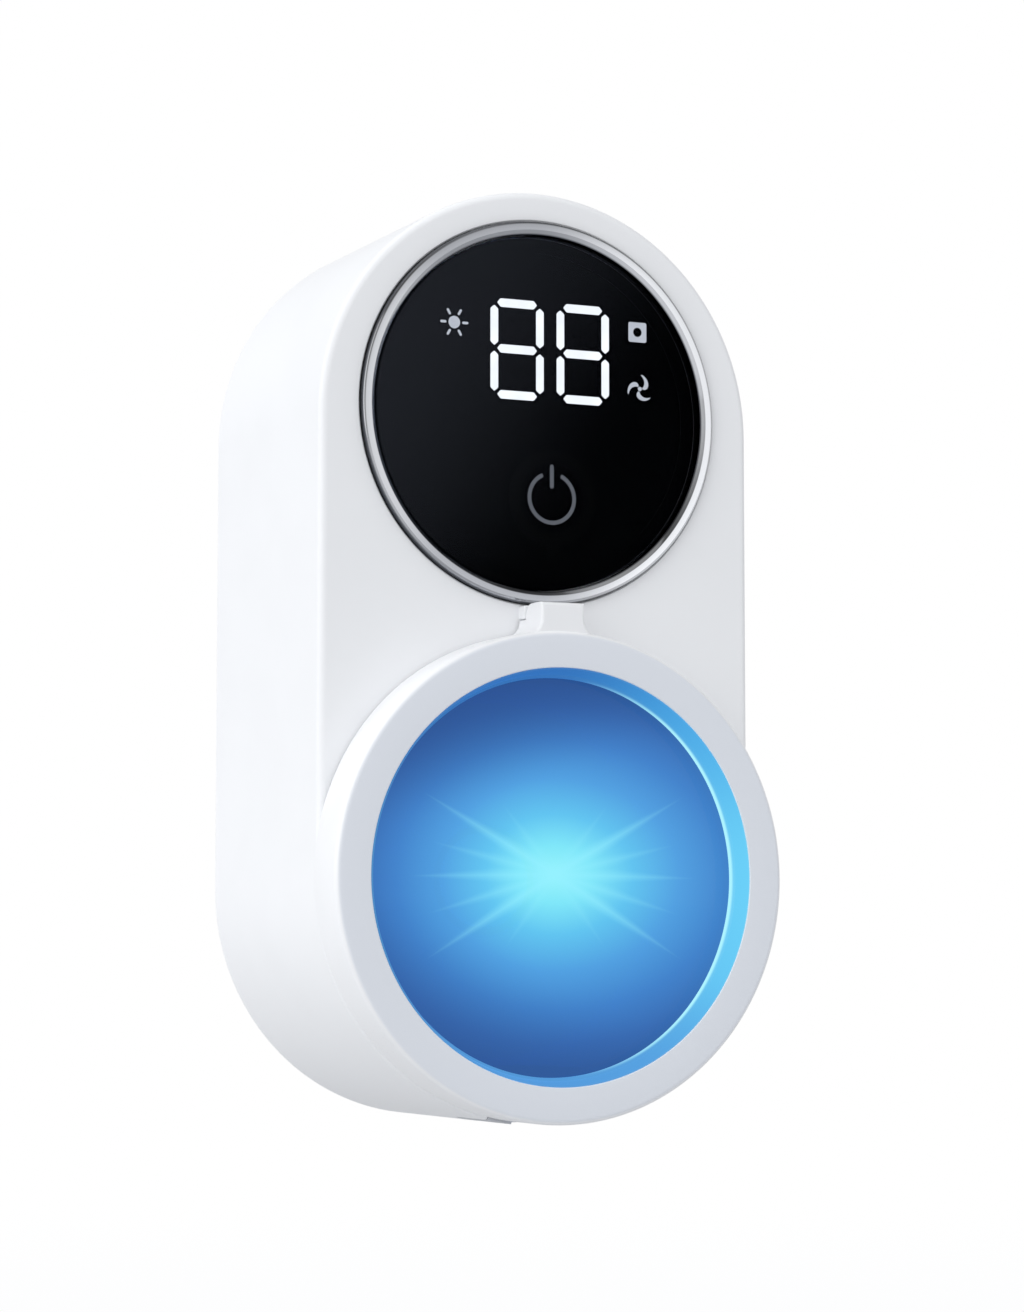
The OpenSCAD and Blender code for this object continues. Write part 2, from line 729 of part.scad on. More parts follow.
/* electronics */
module main_board() {
  color([0.05, 0.3, 0.15]) front() difference() {
    slab(BOARD_BACK, BOARD_FRONT) intersection() {
      rect(-28, 31, 9, 58);
      stadium(INNER_R - 1.4, body_gap);
    }
    at_each(POSTS) disc(1.1, BOARD_BACK - 1, BOARD_FRONT + 1);
  }
}
module main_board_screws() {
  color("silver") front() at_each(POSTS)
    raise(BOARD_FRONT + 1.35) mirror([0, 0, 1]) screw(1.9, 1.3, 0.85, 7);
}
// box and disc on the front of the main board, their tops at height h above it
module board_box(x0, x1, y0, y1, h) {
  box(x0, x1, y0, y1, BOARD_FRONT + 0.02, BOARD_FRONT + h);
}
module board_disc(r, h) { disc(r, BOARD_FRONT + 0.02, BOARD_FRONT + h); }
module controller_chips() {
  color([0.08, 0.08, 0.08]) front() {
    board_box(-13, -3, 28, 38, 1.2);
    board_box(2, 7, 30, 34, 1.0);
    board_box(14, 18, 30, 36, 1.4);
  }
}
// two boxes and two upright cylinders
module power_components() {
  color("slategray") front() {
    board_box(6, 13, 38, 45, 4);
    at_each([[-20, 44], [-20, 37.6]]) board_disc(2.6, 7);
    board_box(-6, -2, 42, 45, 1.8);
  }
}
module buzzer() {
  color([0.1, 0.1, 0.1]) front() translate([17, 23]) difference() {
    board_disc(5, 4.2);
    disc(1, BOARD_FRONT + 2.5, BOARD_FRONT + 5);
  }
}
// four lead sockets open downwards, and the ribbon cable's socket above
module board_connectors() {
  color("ivory") front() {
    for (x = [-12, 0, 7, 14]) difference() {
      board_box(x - 2.9, x + 2.9, 11.5, 16.5, 4.6);
      box(x - 2.3, x + 2.3, 11, 15, BOARD_FRONT + 0.8, BOARD_FRONT + 3.9);
    }
    board_box(-5, 5, 48, 52, 2);
  }
}
// hollow shell with a flat tongue inside
module usb_socket() {
  color("silver") front() difference() {
    port_slot(1.6, INNER_R - 7.6, INNER_R - 0.1);
    difference() {
      port_slot(1.3, INNER_R - 6.4, INNER_R + 1);
      box(INNER_R - 7, INNER_R - 1.2, USB_Y - 3.2, USB_Y + 3.2, USB_Z - 0.35, USB_Z + 0.35);
    }
  }
}
// flap with a hinge barrel below, a plug inside and a raised grip near its top
module port_cover() {
  z0 = USB_Z - 4.05;
  z1 = USB_Z + 4.15;
  color("white") front() difference() {
    union() {
      box(END_R - 0.8, END_R - 0.05, FLAP_Y, USB_Y + 6.6, z0, z1);
      translate([FLAP_X, FLAP_Y]) disc(1.0, z0, z1);
      box(END_R - 1.8, END_R - 0.7, USB_Y - 4, USB_Y + 4, USB_Z - 1.4, USB_Z + 1.4);
      box(END_R - 0.3, END_R + 0.45, USB_Y + 5.0, USB_Y + 6.2, USB_Z - 2.5, USB_Z + 2.5);
    }
    translate([FLAP_X, FLAP_Y]) disc(0.55, USB_Z - 6, USB_Z + 8);
  }
}
module port_cover_pin() {
  color("silver") front() translate([FLAP_X, FLAP_Y]) disc(0.5, USB_Z - 5.6, USB_Z + 5.7);
}
// open tray on four feet, notched below for the leads
module battery_tray() {
  floor_z = 9.4;
  color("whitesmoke") front() difference() {
    union() {
      box(-21.4, 21.4, 14.2, 51.6, 8.3, 13);
      for (x = [-8, 8], y = [18, 48]) translate([x, y]) disc(1.5, COVER_FRONT + 0.05, 8.4);
    }
    box(-20.2, 20.2, 14.9, 50.9, floor_z, 14);
    box(-15, -9, 13, 16, floor_z, 14);
  }
}
module battery_cell() { color("cornflowerblue") front() box(-20, 20, 15.1, 50.7, 9.5, 16.9); }
module battery_leads() {
  z = 13.6;
  color("crimson") front() for (x = [-13, -11])
    wire_run(0.6, concat([[x, 15.05, z]], to_plug(x, 7.6, z)));
}
module led_leads() {
  y = -32;
  z = FLOOR_BACK - 3;
  color("navy") front() for (x = [-1, 1])
    wire_run(0.5, concat([[x, y, FLOOR_BACK - 1.75], [x, y, z]], to_plug(x, 6.2, z)));
}
module heater_leads() {
  side = 2.5; // sideways jog above the heater
  y = HEATER_Y + 12;
  z = FLOOR_BACK - 4;
  color("orangered") front() for (x = [12.8, 15.0])
    wire_run(0.6, concat([[x - side, HEATER_Y + 7.05, z], [x - side, y, z], [x, y, z]],
      to_plug(x, 6.2, z)));
}
module fan_leads() {
  z = 11;
  color("yellow") front() for (x = [6, 8])
    wire_run(0.5, concat([[x, FAN_Y + 12.55, z]], to_plug(x, 4.8, z)));
}
module ribbon_cable() {
  color("white") front() box(-4, 4, 49.85, 50.15, BOARD_FRONT + 2.05, face_h - 10.15);
}

/* door */
// half section of the ring: outer wall, front wall and a short inner wall
module door_profile() {
  edge = 0.9;
  front_back = DOOR_FRONT - 2.2;
  union() {
    rect(door_r - 2.2, door_r, face_h + 0.25, DOOR_FRONT - edge);
    rect(door_open_r, door_r - edge, front_back, DOOR_FRONT);
    rect(door_open_r, door_r, front_back, DOOR_FRONT - edge);
    translate([door_r - edge, DOOR_FRONT - edge]) circle(edge);
    rect(door_open_r, door_open_r + 1.4, face_h + 4.65, DOOR_FRONT - 0.35);
  }
}
// neck above the ring, open at its back and top for the tongue
module hinge_neck() {
  half = neck_w / 2;
  difference() {
    union() {
      translate([-half, HINGE_Y, HINGE_Z]) rotate([90, 0, 90]) linear_extrude(neck_w) union() {
        rect(-3.4, -0.2, -4.4, 3.6);
        rect(-0.3, 2.0, 0.2, 3.6);
        circle(2.1);
      }
      // concave fillet at each side
      for (s = [-1, 1]) slab(face_h + 0.4, HINGE_Z + 3.6) difference() {
        translate([s * (half + 0.8), HINGE_Y - 2.05]) square([2.6, 2.5], center = true);
        translate([s * (half + 2.15), HINGE_Y - 0.7]) circle(2.2);
      }
    }
    box(-2.1, 2.1, HINGE_Y - 2.3, HINGE_Y + 3, face_h - 1, HINGE_Z + 2.6);
    at_chamber() disc(door_r - 1, face_h - 1, DOOR_FRONT + 1);
  }
}
module door_ring() {
  color("white") front() difference() {
    union() {
      at_chamber() rotate_extrude() door_profile();
      hinge_neck();
    }
    at_hinge() xrod(1.02, -neck_w / 2 + 0.6, neck_w / 2 + 1);
  }
}
// ring inside the door's opening, tapering to its front
module glow_ring() {
  r = door_open_r - 0.05;
  z0 = face_h + 4.65;
  z1 = DOOR_FRONT - 0.05;
  color("deepskyblue") front() at_chamber() rotate_extrude()
    polygon([[29.9, z0], [r, z0], [r, z1], [r - 0.15, z1]]);
}
module door_window() {
  color([0.2, 0.5, 0.9], 0.4) front() at_chamber() disc(33.3, face_h + 2.6, face_h + 4.6);
}
module window_retainer() {
  color("whitesmoke") front() at_chamber() difference() {
    pipe(30, 34.2, face_h + 0.9, face_h + 2.55);
    at_each(MAGNETS) disc(MAGNET_R + 0.05, face_h + 1.15, face_h + 3);
  }
}
// soft ring, narrower at its back
module door_seal() {
  color("silver") front() at_chamber() rotate_extrude() translate([0, face_h])
    polygon([[30.2, 0.86], [32.6, 0.86], [32.6, 0.5], [31.9, 0.08], [31.1, 0.08], [30.2, 0.5]]);
}
module door_magnets() {
  color("silver") front() at_chamber() at_each(MAGNETS)
    disc(MAGNET_R, face_h + 1.2, face_h + 2.4);
}
module hinge_pin() {
  color("silver") front() at_hinge() xrod(1.0, -neck_w / 2 + 0.7, neck_w / 2 - 0.1);
}

adhesive_pad();
wall_plate();
front_shell();
rear_cover();
rear_cover_screws();
bezel_ring();
display_lens();
lens_gasket();
segment_mask();
digit_segments();
indicator_icons();
power_symbol();
touch_electrode();
display_board();
display_leds();
display_driver();
display_board_screws();
chamber_liner();
uv_reflector();
quartz_lens();
lens_retainer();
uv_led_board();
uv_led_chips();
neck_grommet();
housing_magnets();
door_sensor();
heater_frame();
heater_fins();
heater_elements();
fan_frame();
fan_bearing();
fan_stator();
fan_shaft();
fan_rotor();
temperature_probe();
main_board();
main_board_screws();
controller_chips();
power_components();
buzzer();
board_connectors();
usb_socket();
port_cover();
port_cover_pin();
battery_tray();
battery_cell();
battery_leads();
led_leads();
heater_leads();
fan_leads();
ribbon_cable();
door_ring();
glow_ring();
door_window();
window_retainer();
door_seal();
door_magnets();
hinge_pin();
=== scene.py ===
# A wall-mounted toothbrush sanitizer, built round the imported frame: a stadium-shaped housing with
# a round display above, and below it a round chamber with a lit window in a door hinged at its top.
# The back lies on the wall at y = 0 and the front faces -y. Sizes are in mm in face coordinates:
# x across, z up, f the distance from the wall (y = -f).
import math
import json

import bpy
import bmesh
import numpy as np
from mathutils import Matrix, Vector

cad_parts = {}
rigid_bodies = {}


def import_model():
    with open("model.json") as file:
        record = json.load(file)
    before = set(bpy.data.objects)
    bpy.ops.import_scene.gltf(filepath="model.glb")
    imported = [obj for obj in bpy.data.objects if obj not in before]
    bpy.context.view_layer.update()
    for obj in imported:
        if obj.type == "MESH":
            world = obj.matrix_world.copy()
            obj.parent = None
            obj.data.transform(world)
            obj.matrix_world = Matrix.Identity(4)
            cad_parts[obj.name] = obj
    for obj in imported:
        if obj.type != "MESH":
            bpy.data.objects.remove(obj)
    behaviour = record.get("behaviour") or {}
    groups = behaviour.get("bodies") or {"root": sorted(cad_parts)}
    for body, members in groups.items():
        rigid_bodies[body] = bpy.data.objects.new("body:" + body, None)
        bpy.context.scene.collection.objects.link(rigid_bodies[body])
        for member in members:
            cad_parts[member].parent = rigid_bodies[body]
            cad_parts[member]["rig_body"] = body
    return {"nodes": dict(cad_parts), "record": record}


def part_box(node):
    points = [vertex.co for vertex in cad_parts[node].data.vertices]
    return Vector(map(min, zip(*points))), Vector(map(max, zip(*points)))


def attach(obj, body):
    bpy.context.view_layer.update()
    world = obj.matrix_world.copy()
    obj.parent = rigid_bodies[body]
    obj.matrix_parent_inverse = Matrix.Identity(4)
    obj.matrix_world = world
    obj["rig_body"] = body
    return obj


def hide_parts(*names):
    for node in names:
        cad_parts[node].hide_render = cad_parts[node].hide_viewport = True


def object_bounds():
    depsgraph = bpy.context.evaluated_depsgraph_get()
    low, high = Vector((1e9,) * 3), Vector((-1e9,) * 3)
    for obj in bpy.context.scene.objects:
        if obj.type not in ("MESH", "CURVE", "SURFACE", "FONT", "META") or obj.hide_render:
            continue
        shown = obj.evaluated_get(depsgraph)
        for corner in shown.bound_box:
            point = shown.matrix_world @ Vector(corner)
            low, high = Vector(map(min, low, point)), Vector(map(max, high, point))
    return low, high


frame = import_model()
CAD_LO, CAD_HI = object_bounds()
NODES = frame["nodes"]
SLOT = {part["node"]: part["material_slot"] for part in frame["record"]["subparts"]}
BODY = {name: ob["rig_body"] for name, ob in NODES.items()}


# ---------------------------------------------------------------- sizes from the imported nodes
def box_mm(node):
    """Low and high corners as (x, f, z)."""
    lo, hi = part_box(node)
    return [lo.x * 1e3, -hi.y * 1e3, lo.z * 1e3], [hi.x * 1e3, -lo.y * 1e3, hi.z * 1e3]


def middle(node):
    lo, hi = box_mm(node)
    return [(a + b) / 2 for a, b in zip(lo, hi)]


def disc_size(node):
    """Radius, back f and front f of a round piece."""
    lo, hi = box_mm(node)
    return (hi[0] - lo[0]) / 2, lo[1], hi[1]


FRONT = box_mm("chamber_liner")[1][1]  # the housing's front face
SHELL_R, SHELL_BACK, _ = disc_size("front_shell")
SHELL_BORE = SHELL_R - 2.0
shell_lo, shell_hi = box_mm("front_shell")
END_Z = (shell_hi[2] - shell_lo[2]) / 2 - SHELL_R  # centres of the round ends lie at +-END_Z
BOTTOM = -END_Z - SHELL_R
COVER_R, COVER_BACK, _ = disc_size("rear_cover")

DISPLAY_Z = middle("display_lens")[2]
LENS_R, LENS_BACK, LENS_FRONT = disc_size("display_lens")
BEZEL_R, BEZEL_BACK, BEZEL_FRONT = disc_size("bezel_ring")
BEZEL_BORE = LENS_R + 0.15
(DIGITS_X0, MARK_BACK, DIGITS_Z0), (DIGITS_X1, MARK_FRONT, DIGITS_Z1) = box_mm("digit_segments")

WINDOW_Z = middle("door_window")[2]
WINDOW_R, WINDOW_BACK, WINDOW_FRONT = disc_size("door_window")
DOOR_R, DOOR_BACK, DOOR_FRONT = disc_size("door_ring")
_, GLOW_BACK, GLOW_FRONT = disc_size("glow_ring")
PIN_X0, PIN_X1 = box_mm("hinge_pin")[0][0], box_mm("hinge_pin")[1][0]
_, PIN_F, PIN_Z = middle("hinge_pin")
LINER_R = 29.5
LINER_UNDER = FRONT - 23.6
LINER_FLOOR = FRONT - 22.4
SLOT_F = FRONT - 6.5  # centre of the brush slot's round back

_, USB_F, USB_Z = middle("usb_socket")
FLAP_X, _, FLAP_Z = middle("port_cover_pin")
FAN_Z = middle("fan_frame")[2]


# ---------------------------------------------------------------- mesh helpers
def point(x, z, f):
    return (x * 1e-3, -f * 1e-3, z * 1e-3)


def new_object(name, mesh):
    ob = bpy.data.objects.new(name, mesh)
    bpy.context.scene.collection.objects.link(ob)
    return ob


def mesh_object(name, verts, faces, sharp=32.0):
    mesh = bpy.data.meshes.new(name)
    mesh.from_pydata([tuple(v) for v in verts], [], [tuple(f) for f in faces])
    ob = new_object(name, mesh)
    clean(ob, sharp)
    return ob


def clean(ob, sharp=32.0, merge=1e-7):
    """Welds, drops degenerate and loose parts, and marks edges beyond `sharp` degrees."""
    bm = bmesh.new()
    bm.from_mesh(ob.data)
    bmesh.ops.remove_doubles(bm, verts=bm.verts, dist=merge)
    bmesh.ops.dissolve_degenerate(bm, dist=merge, edges=bm.edges)
    loose = [v for v in bm.verts if not v.link_faces]
    bmesh.ops.delete(bm, geom=loose, context="VERTS")
    bmesh.ops.recalc_face_normals(bm, faces=bm.faces)
    limit = math.radians(sharp)
    for face in bm.faces:
        face.smooth = True
    for edge in bm.edges:
        edge.smooth = not (len(edge.link_faces) == 2 and edge.calc_face_angle(0.0) > limit)
    bm.to_mesh(ob.data)
    bm.free()
    ob.data.update()


def rounded(corners, steps=6, closed=True):
    """Corners (a, b, radius) become arcs. The radius may be left out. An open line keeps its ends."""
    out = []
    count = len(corners)
    for i, corner in enumerate(corners):
        radius = corner[2] if len(corner) > 2 else 0.0
        c = np.array(corner[:2], float)
        if radius <= 0 or (not closed and i in (0, count - 1)):
            out.append((c[0], c[1]))
            continue
        u = np.array(corners[i - 1][:2], float) - c
        v = np.array(corners[(i + 1) % count][:2], float) - c
        len_u, len_v = np.linalg.norm(u), np.linalg.norm(v)
        u, v = u / len_u, v / len_v
        angle = math.acos(max(-1.0, min(1.0, float(u @ v))))
        if math.pi - angle < 1e-3:
            out.append((c[0], c[1]))
            continue
        # the arc takes just under half of the shorter side at most
        trim = min(radius / math.tan(angle / 2), 0.4995 * min(len_u, len_v))
        radius = trim * math.tan(angle / 2)
        bisector = (u + v) / np.linalg.norm(u + v)
        o = c + bisector * (radius / math.sin(angle / 2))
        start = math.atan2(c[1] + u[1] * trim - o[1], c[0] + u[0] * trim - o[0])
        end = math.atan2(c[1] + v[1] * trim - o[1], c[0] + v[0] * trim - o[0])
        turn = (end - start + math.pi) % (2 * math.pi) - math.pi
        for k in range(steps + 1):
            q = start + turn * k / steps
            out.append((o[0] + radius * math.cos(q), o[1] + radius * math.sin(q)))
    return out


def join_rings(name, rings, closed, sharp=32.0):
    """Skins rings of points. A ring of one point is a pole. closed joins the last to the first."""
    verts, faces, index = [], [], []
    for ring in rings:
        index.append(list(range(len(verts), len(verts) + len(ring))))
        verts += ring
    count = len(rings)
    for j in range(count if closed else count - 1):
        a, b = index[j], index[(j + 1) % count]
        size = max(len(a), len(b))
        for k in range(size):
            k2 = (k + 1) % size
            if len(a) == 1:
                faces.append((a[0], b[k2], b[k]))
            elif len(b) == 1:
                faces.append((a[k], a[k2], b[0]))
            else:
                faces.append((a[k], a[k2], b[k2], b[k]))
    return mesh_object(name, verts, faces, sharp)


def ring_points(r, depths, x, z):
    """A circle with one point for each f in depths."""
    seg = len(depths)
    return [point(x + r * math.cos(2 * math.pi * k / seg), z + r * math.sin(2 * math.pi * k / seg), f)
            for k, f in enumerate(depths)]


def is_loop(profile):
    """A profile closes on itself unless it starts and ends on the axis."""
    return not (profile[0][0] < 1e-6 and profile[-1][0] < 1e-6)


def lathe(name, profile, x=0.0, z=0.0, seg=192, sharp=32.0):
    """Turns a profile of (radius, f) about the axis through (x, z)."""
    rings = [[point(x, z, f)] if r < 1e-6 else ring_points(r, [f] * seg, x, z) for r, f in profile]
    return join_rings(name, rings, is_loop(profile), sharp)


def pill(name, profile, c, arc=96, side=10):
    """Sweeps a profile of (radius, f) round an upright stadium, its end centres at z = +-c."""
    rings = []
    for r, f in profile:
        ring = []
        for s in (1, -1):
            for k in range(arc + 1):
                a = math.pi * k / arc if s > 0 else math.pi + math.pi * k / arc
                ring.append(point(r * math.cos(a), s * c + r * math.sin(a), f))
            for k in range(1, side):
                ring.append(point(-s * r, s * (c - 2 * c * k / side), f))
        rings.append(ring)
    return join_rings(name, rings, is_loop(profile))


def unit(v):
    return v / np.maximum(1e-9, np.linalg.norm(v, axis=1))[:, None]


def with_edges(outline):
    """Counter-clockwise points, and the unit directions of the edges before and after each."""
    o = np.array(outline, float)
    if np.sum(o[:, 0] * np.roll(o[:, 1], -1) - np.roll(o[:, 0], -1) * o[:, 1]) < 0:
        o = o[::-1]
    return o, unit(o - np.roll(o, 1, 0)), unit(np.roll(o, -1, 0) - o)


def prism(name, outline, a0, a1, axis="f", edge0=0.0, edge1=0.0, steps=4):
    """Extrudes an outline from a0 to a1, its rims rounded by edge0 and edge1.
    The outline is (x, z) for axis f, (z, f) for axis x and (x, f) for axis z."""
    o, before, after = with_edges(outline)
    normal = np.stack([-after[:, 1], after[:, 0]], 1)
    inward = np.stack([-before[:, 1], before[:, 0]], 1) + normal
    inward = inward / np.maximum(1e-9, np.sum(inward * normal, 1))[:, None]

    def place(q, a):
        if axis == "f":
            return point(q[0], q[1], a)
        if axis == "x":
            return point(a, q[0], q[1])
        return point(q[0], a, q[1])

    def rim(edge, at, sign, angles):
        if edge <= 0:
            return [(0.0, at)]
        return [(edge * (1 - math.sin(t)), at + sign * edge * (1 - math.cos(t))) for t in angles]

    turns = range(steps + 1)
    levels = rim(edge0, a0, 1, [math.pi / 2 * k / steps for k in turns])
    levels += rim(edge1, a1, -1, [math.pi / 2 * (1 - k / steps) for k in turns])
    verts, faces = [], []
    m = len(o)
    for offset, a in levels:
        verts += [place(q, a) for q in o + inward * offset]
    for j in range(len(levels) - 1):
        for k in range(m):
            k2 = (k + 1) % m
            faces.append((j * m + k, j * m + k2, (j + 1) * m + k2, (j + 1) * m + k))
    faces.append(tuple(range(m))[::-1])
    faces.append(tuple(range((len(levels) - 1) * m, len(levels) * m)))
    return mesh_object(name, verts, faces)


def grow(outline, d):
    """An outline moved outwards by d."""
    o, before, after = with_edges(outline)
    outward = unit(np.stack([after[:, 1] + before[:, 1], -after[:, 0] - before[:, 0]], 1))
    return o + outward * d


def shift(outline, x, z):
    return [(x + a, z + b) for a, b in outline]


def rect(x0, x1, y0, y1, r=0.0, steps=6):
    return rounded([(x0, y0, r), (x1, y0, r), (x1, y1, r), (x0, y1, r)], steps)


def circle(cx, cy, r, n):
    return [(cx + r * math.cos(2 * math.pi * k / n), cy + r * math.sin(2 * math.pi * k / n))
            for k in range(n)]


def capsule(cx, cy, r, half, n=24):
    """A stadium with its end centres at cx plus and minus half."""
    angles = np.linspace(-math.pi / 2, math.pi / 2, n)
    out = [(cx + half + r * math.cos(a), cy + r * math.sin(a)) for a in angles]
    out += [(cx - half - r * math.cos(a), cy - r * math.sin(a)) for a in angles]
    return out


def join(name, obs):
    """One object from several, each keeping its own islands."""
    bm = bmesh.new()
    for ob in obs:
        bm.from_mesh(ob.data)
    mesh = bpy.data.meshes.new(name)
    bm.to_mesh(mesh)
    bm.free()
    for ob in obs:
        bpy.data.objects.remove(ob)
    return new_object(name, mesh)


def boolean(ob, cutter, operation="DIFFERENCE"):
    """Applies a boolean and removes the cutter."""
    mod = ob.modifiers.new("cut", "BOOLEAN")
    mod.operation = operation
    mod.object = cutter
    mod.solver = "EXACT"
    bpy.context.view_layer.update()
    depsgraph = bpy.context.evaluated_depsgraph_get()
    mesh = bpy.data.meshes.new_from_object(ob.evaluated_get(depsgraph))
    ob.modifiers.clear()
    old = ob.data
    ob.data = mesh
    bpy.data.meshes.remove(old)
    bpy.data.objects.remove(cutter)
    clean(ob, merge=2e-7)


def soften(ob):
    """Face-weighted normals, so flats stay flat beside their rounded edges."""
    mod = ob.modifiers.new("normals", "WEIGHTED_NORMAL")
    mod.mode = "FACE_AREA"
    mod.weight = 80
    mod.keep_sharp = True


# ---------------------------------------------------------------- node helpers
class Value:
    """A node output that takes part in arithmetic."""

    def __init__(self, graph, socket):
        self.graph = graph
        self.socket = socket

    def __abs__(self):
        return self.graph.math("ABSOLUTE", self)

    def __pow__(self, other):
        return self.graph.math("POWER", self, other)


def operator_pair(operation):
    return (lambda self, other: self.graph.math(operation, self, other),
            lambda self, other: self.graph.math(operation, other, self))


Value.__add__, Value.__radd__ = operator_pair("ADD")
Value.__sub__, Value.__rsub__ = operator_pair("SUBTRACT")
Value.__mul__, Value.__rmul__ = operator_pair("MULTIPLY")
Value.__truediv__, Value.__rtruediv__ = operator_pair("DIVIDE")


class Graph:
    """The node tree of a material or a world."""

    def __init__(self, owner):
        self.owner = owner
        owner.use_nodes = True
        self.tree = owner.node_tree
        self.tree.nodes.clear()
        self.coords = None

    def node(self, kind, **props):
        n = self.tree.nodes.new("ShaderNode" + kind)
        for key, v in props.items():
            setattr(n, key, v)
        return n

    def put(self, socket, v):
        """Links a value, socket or node to an input, or sets it to a number or a colour."""
        if isinstance(v, Value):
            v = v.socket
        elif isinstance(v, bpy.types.Node):
            v = v.outputs[0]
        if isinstance(v, bpy.types.NodeSocket):
            self.tree.links.new(v, socket)
        elif isinstance(v, tuple):
            socket.default_value = (*v, 1.0)
        else:
            socket.default_value = v

    def shader(self, kind, **inputs):
        n = self.node(kind)
        for key, v in inputs.items():
            self.put(n.inputs[key.replace("_", " ")], v)
        return n

    def bsdf(self, **inputs):
        return self.shader("BsdfPrincipled", **inputs)

    def blend(self, fac, a, b):
        n = self.node("MixShader")
        for socket, v in zip(n.inputs, (fac, a, b)):
            self.put(socket, v)
        return n

    def object_coords(self):
        if self.coords is None:
            self.coords = self.node("TexCoord").outputs["Object"]
        return self.coords

    def xyz(self, vector=None):
        """The parts of a vector, or of the object coordinates."""
        n = self.node("SeparateXYZ")
        self.put(n.inputs[0], vector or self.object_coords())
        return [Value(self, out) for out in n.outputs]

    def math(self, op, a, b=None, clamp=False):
        n = self.node("Math", operation=op, use_clamp=clamp)
        self.put(n.inputs[0], a)
        if b is not None:
            self.put(n.inputs[1], b)
        return Value(self, n.outputs[0])

    def max(self, a, b):
        return self.math("MAXIMUM", a, b)

    def length(self, a, b):
        return self.math("SQRT", a * a + b * b)

    def ease(self, v, start, end, low=0.0, high=1.0, smooth=True):
        """Maps start..end to low..high, clamped."""
        kind = "SMOOTHSTEP" if smooth else "LINEAR"
        n = self.node("MapRange", interpolation_type=kind, clamp=True)
        for socket, x in zip(n.inputs, (v, start, end, low, high)):
            self.put(socket, x)
        return Value(self, n.outputs[0])

    def noise(self, scale, detail=2.0, rough=0.5, stretch=None):
        n = self.node("TexNoise")
        v = self.object_coords()
        if stretch:
            mapping = self.node("Mapping")
            self.put(mapping.inputs["Vector"], v)
            mapping.inputs["Scale"].default_value = stretch
            v = mapping.outputs[0]
        self.put(n.inputs["Vector"], v)
        n.inputs["Scale"].default_value = scale
        n.inputs["Detail"].default_value = detail
        n.inputs["Roughness"].default_value = rough
        return Value(self, n.outputs[0])

    def mix(self, fac, a, b):
        n = self.node("Mix", data_type="RGBA", blend_type="MIX")
        self.put(n.inputs[0], fac)
        self.put(n.inputs[6], a)
        self.put(n.inputs[7], b)
        return Value(self, n.outputs[2])

    def patchy(self, noise, colour, low, high, dark):
        """The colour, darkened by the factor `dark` where the noise is low."""
        return self.mix(self.ease(noise, low, high), tuple(x * dark for x in colour), colour)

    def ramp(self, v, stops):
        """A linear ramp of (position, colour) stops."""
        n = self.node("ValToRGB")
        n.color_ramp.interpolation = "LINEAR"
        elements = n.color_ramp.elements
        while len(elements) < len(stops):
            elements.new(0.5)
        for element, (position, colour) in zip(elements, stops):
            element.position = position
            element.color = (*colour, 1.0)
        self.put(n.inputs[0], v)
        return Value(self, n.outputs[0])

    def bump(self, height, strength, distance):
        return self.shader("Bump", Strength=strength, Distance=distance, Height=height)

    def done(self, shader, output="OutputMaterial"):
        self.put(self.node(output).inputs[0], shader)
        return self.owner


def new_material(name):
    return Graph(bpy.data.materials.new(name))


def srgb(*levels):
    """Display levels 0-255 to linear."""
    shares = [x / 255.0 for x in levels]
    return tuple(x / 12.92 if x <= 0.04045 else ((x + 0.055) / 1.055) ** 2.4 for x in shares)


# ---------------------------------------------------------------- plain materials
def moulded(m, broad, fine, colour, rough, grain, spec):
    """Plastic whose sheen varies broadly by 0.06 and finely by 0.10."""
    r = (fine - 0.5) * 0.10 + (broad * 0.06 + (rough - 0.03))
    normal = m.bump(fine, strength=grain, distance=0.00003)
    return m.bsdf(Base_Color=colour, Roughness=r, Normal=normal, Specular_IOR_Level=spec)


def plastic(name, colour, rough, grain, grain_mm, var, coat=0.0, spec=0.5):
    m = new_material(name)
    broad = m.noise(scale=55.0)
    fine = m.noise(scale=1000.0 / grain_mm, rough=0.6)
    c = m.patchy(broad, colour, 0.35, 0.65, dark=1 - var)
    b = moulded(m, broad, fine, c, rough, grain, spec)
    if coat:
        b.inputs["Coat Weight"].default_value = coat
        b.inputs["Coat Roughness"].default_value = 0.08
    return m.done(b)


def metal(name, colour, rough, streak=None, grain=0.06, scale=2500.0):
    m = new_material(name)
    fine = m.noise(scale=scale, rough=0.6, stretch=streak)
    broad = m.noise(scale=160.0, detail=3.0, rough=0.6)
    c = m.patchy(broad, colour, 0.3, 0.7, dark=0.93)
    r = rough + (broad - 0.5) * 0.12
    normal = m.bump(fine, strength=grain, distance=0.00002)
    return m.done(m.bsdf(Base_Color=c, Metallic=1.0, Roughness=r, Normal=normal))


def rubber(name, colour, rough, grain, grain_mm, sss=0.0):
    m = new_material(name)
    fine = m.noise(scale=1000.0 / grain_mm, detail=4.0, rough=0.65)
    broad = m.noise(scale=90.0)
    c = m.patchy(broad, colour, 0.3, 0.7, dark=0.9)
    b = m.bsdf(Base_Color=c, Roughness=(rough - 0.05) + fine * 0.12,
               Normal=m.bump(fine, strength=grain, distance=0.00006), Specular_IOR_Level=0.35)
    if sss:
        b.inputs["Subsurface Weight"].default_value = sss
        b.inputs["Subsurface Radius"].default_value = (0.001, 0.001, 0.001)
        b.inputs["Subsurface Scale"].default_value = 1.0
    return m.done(b)


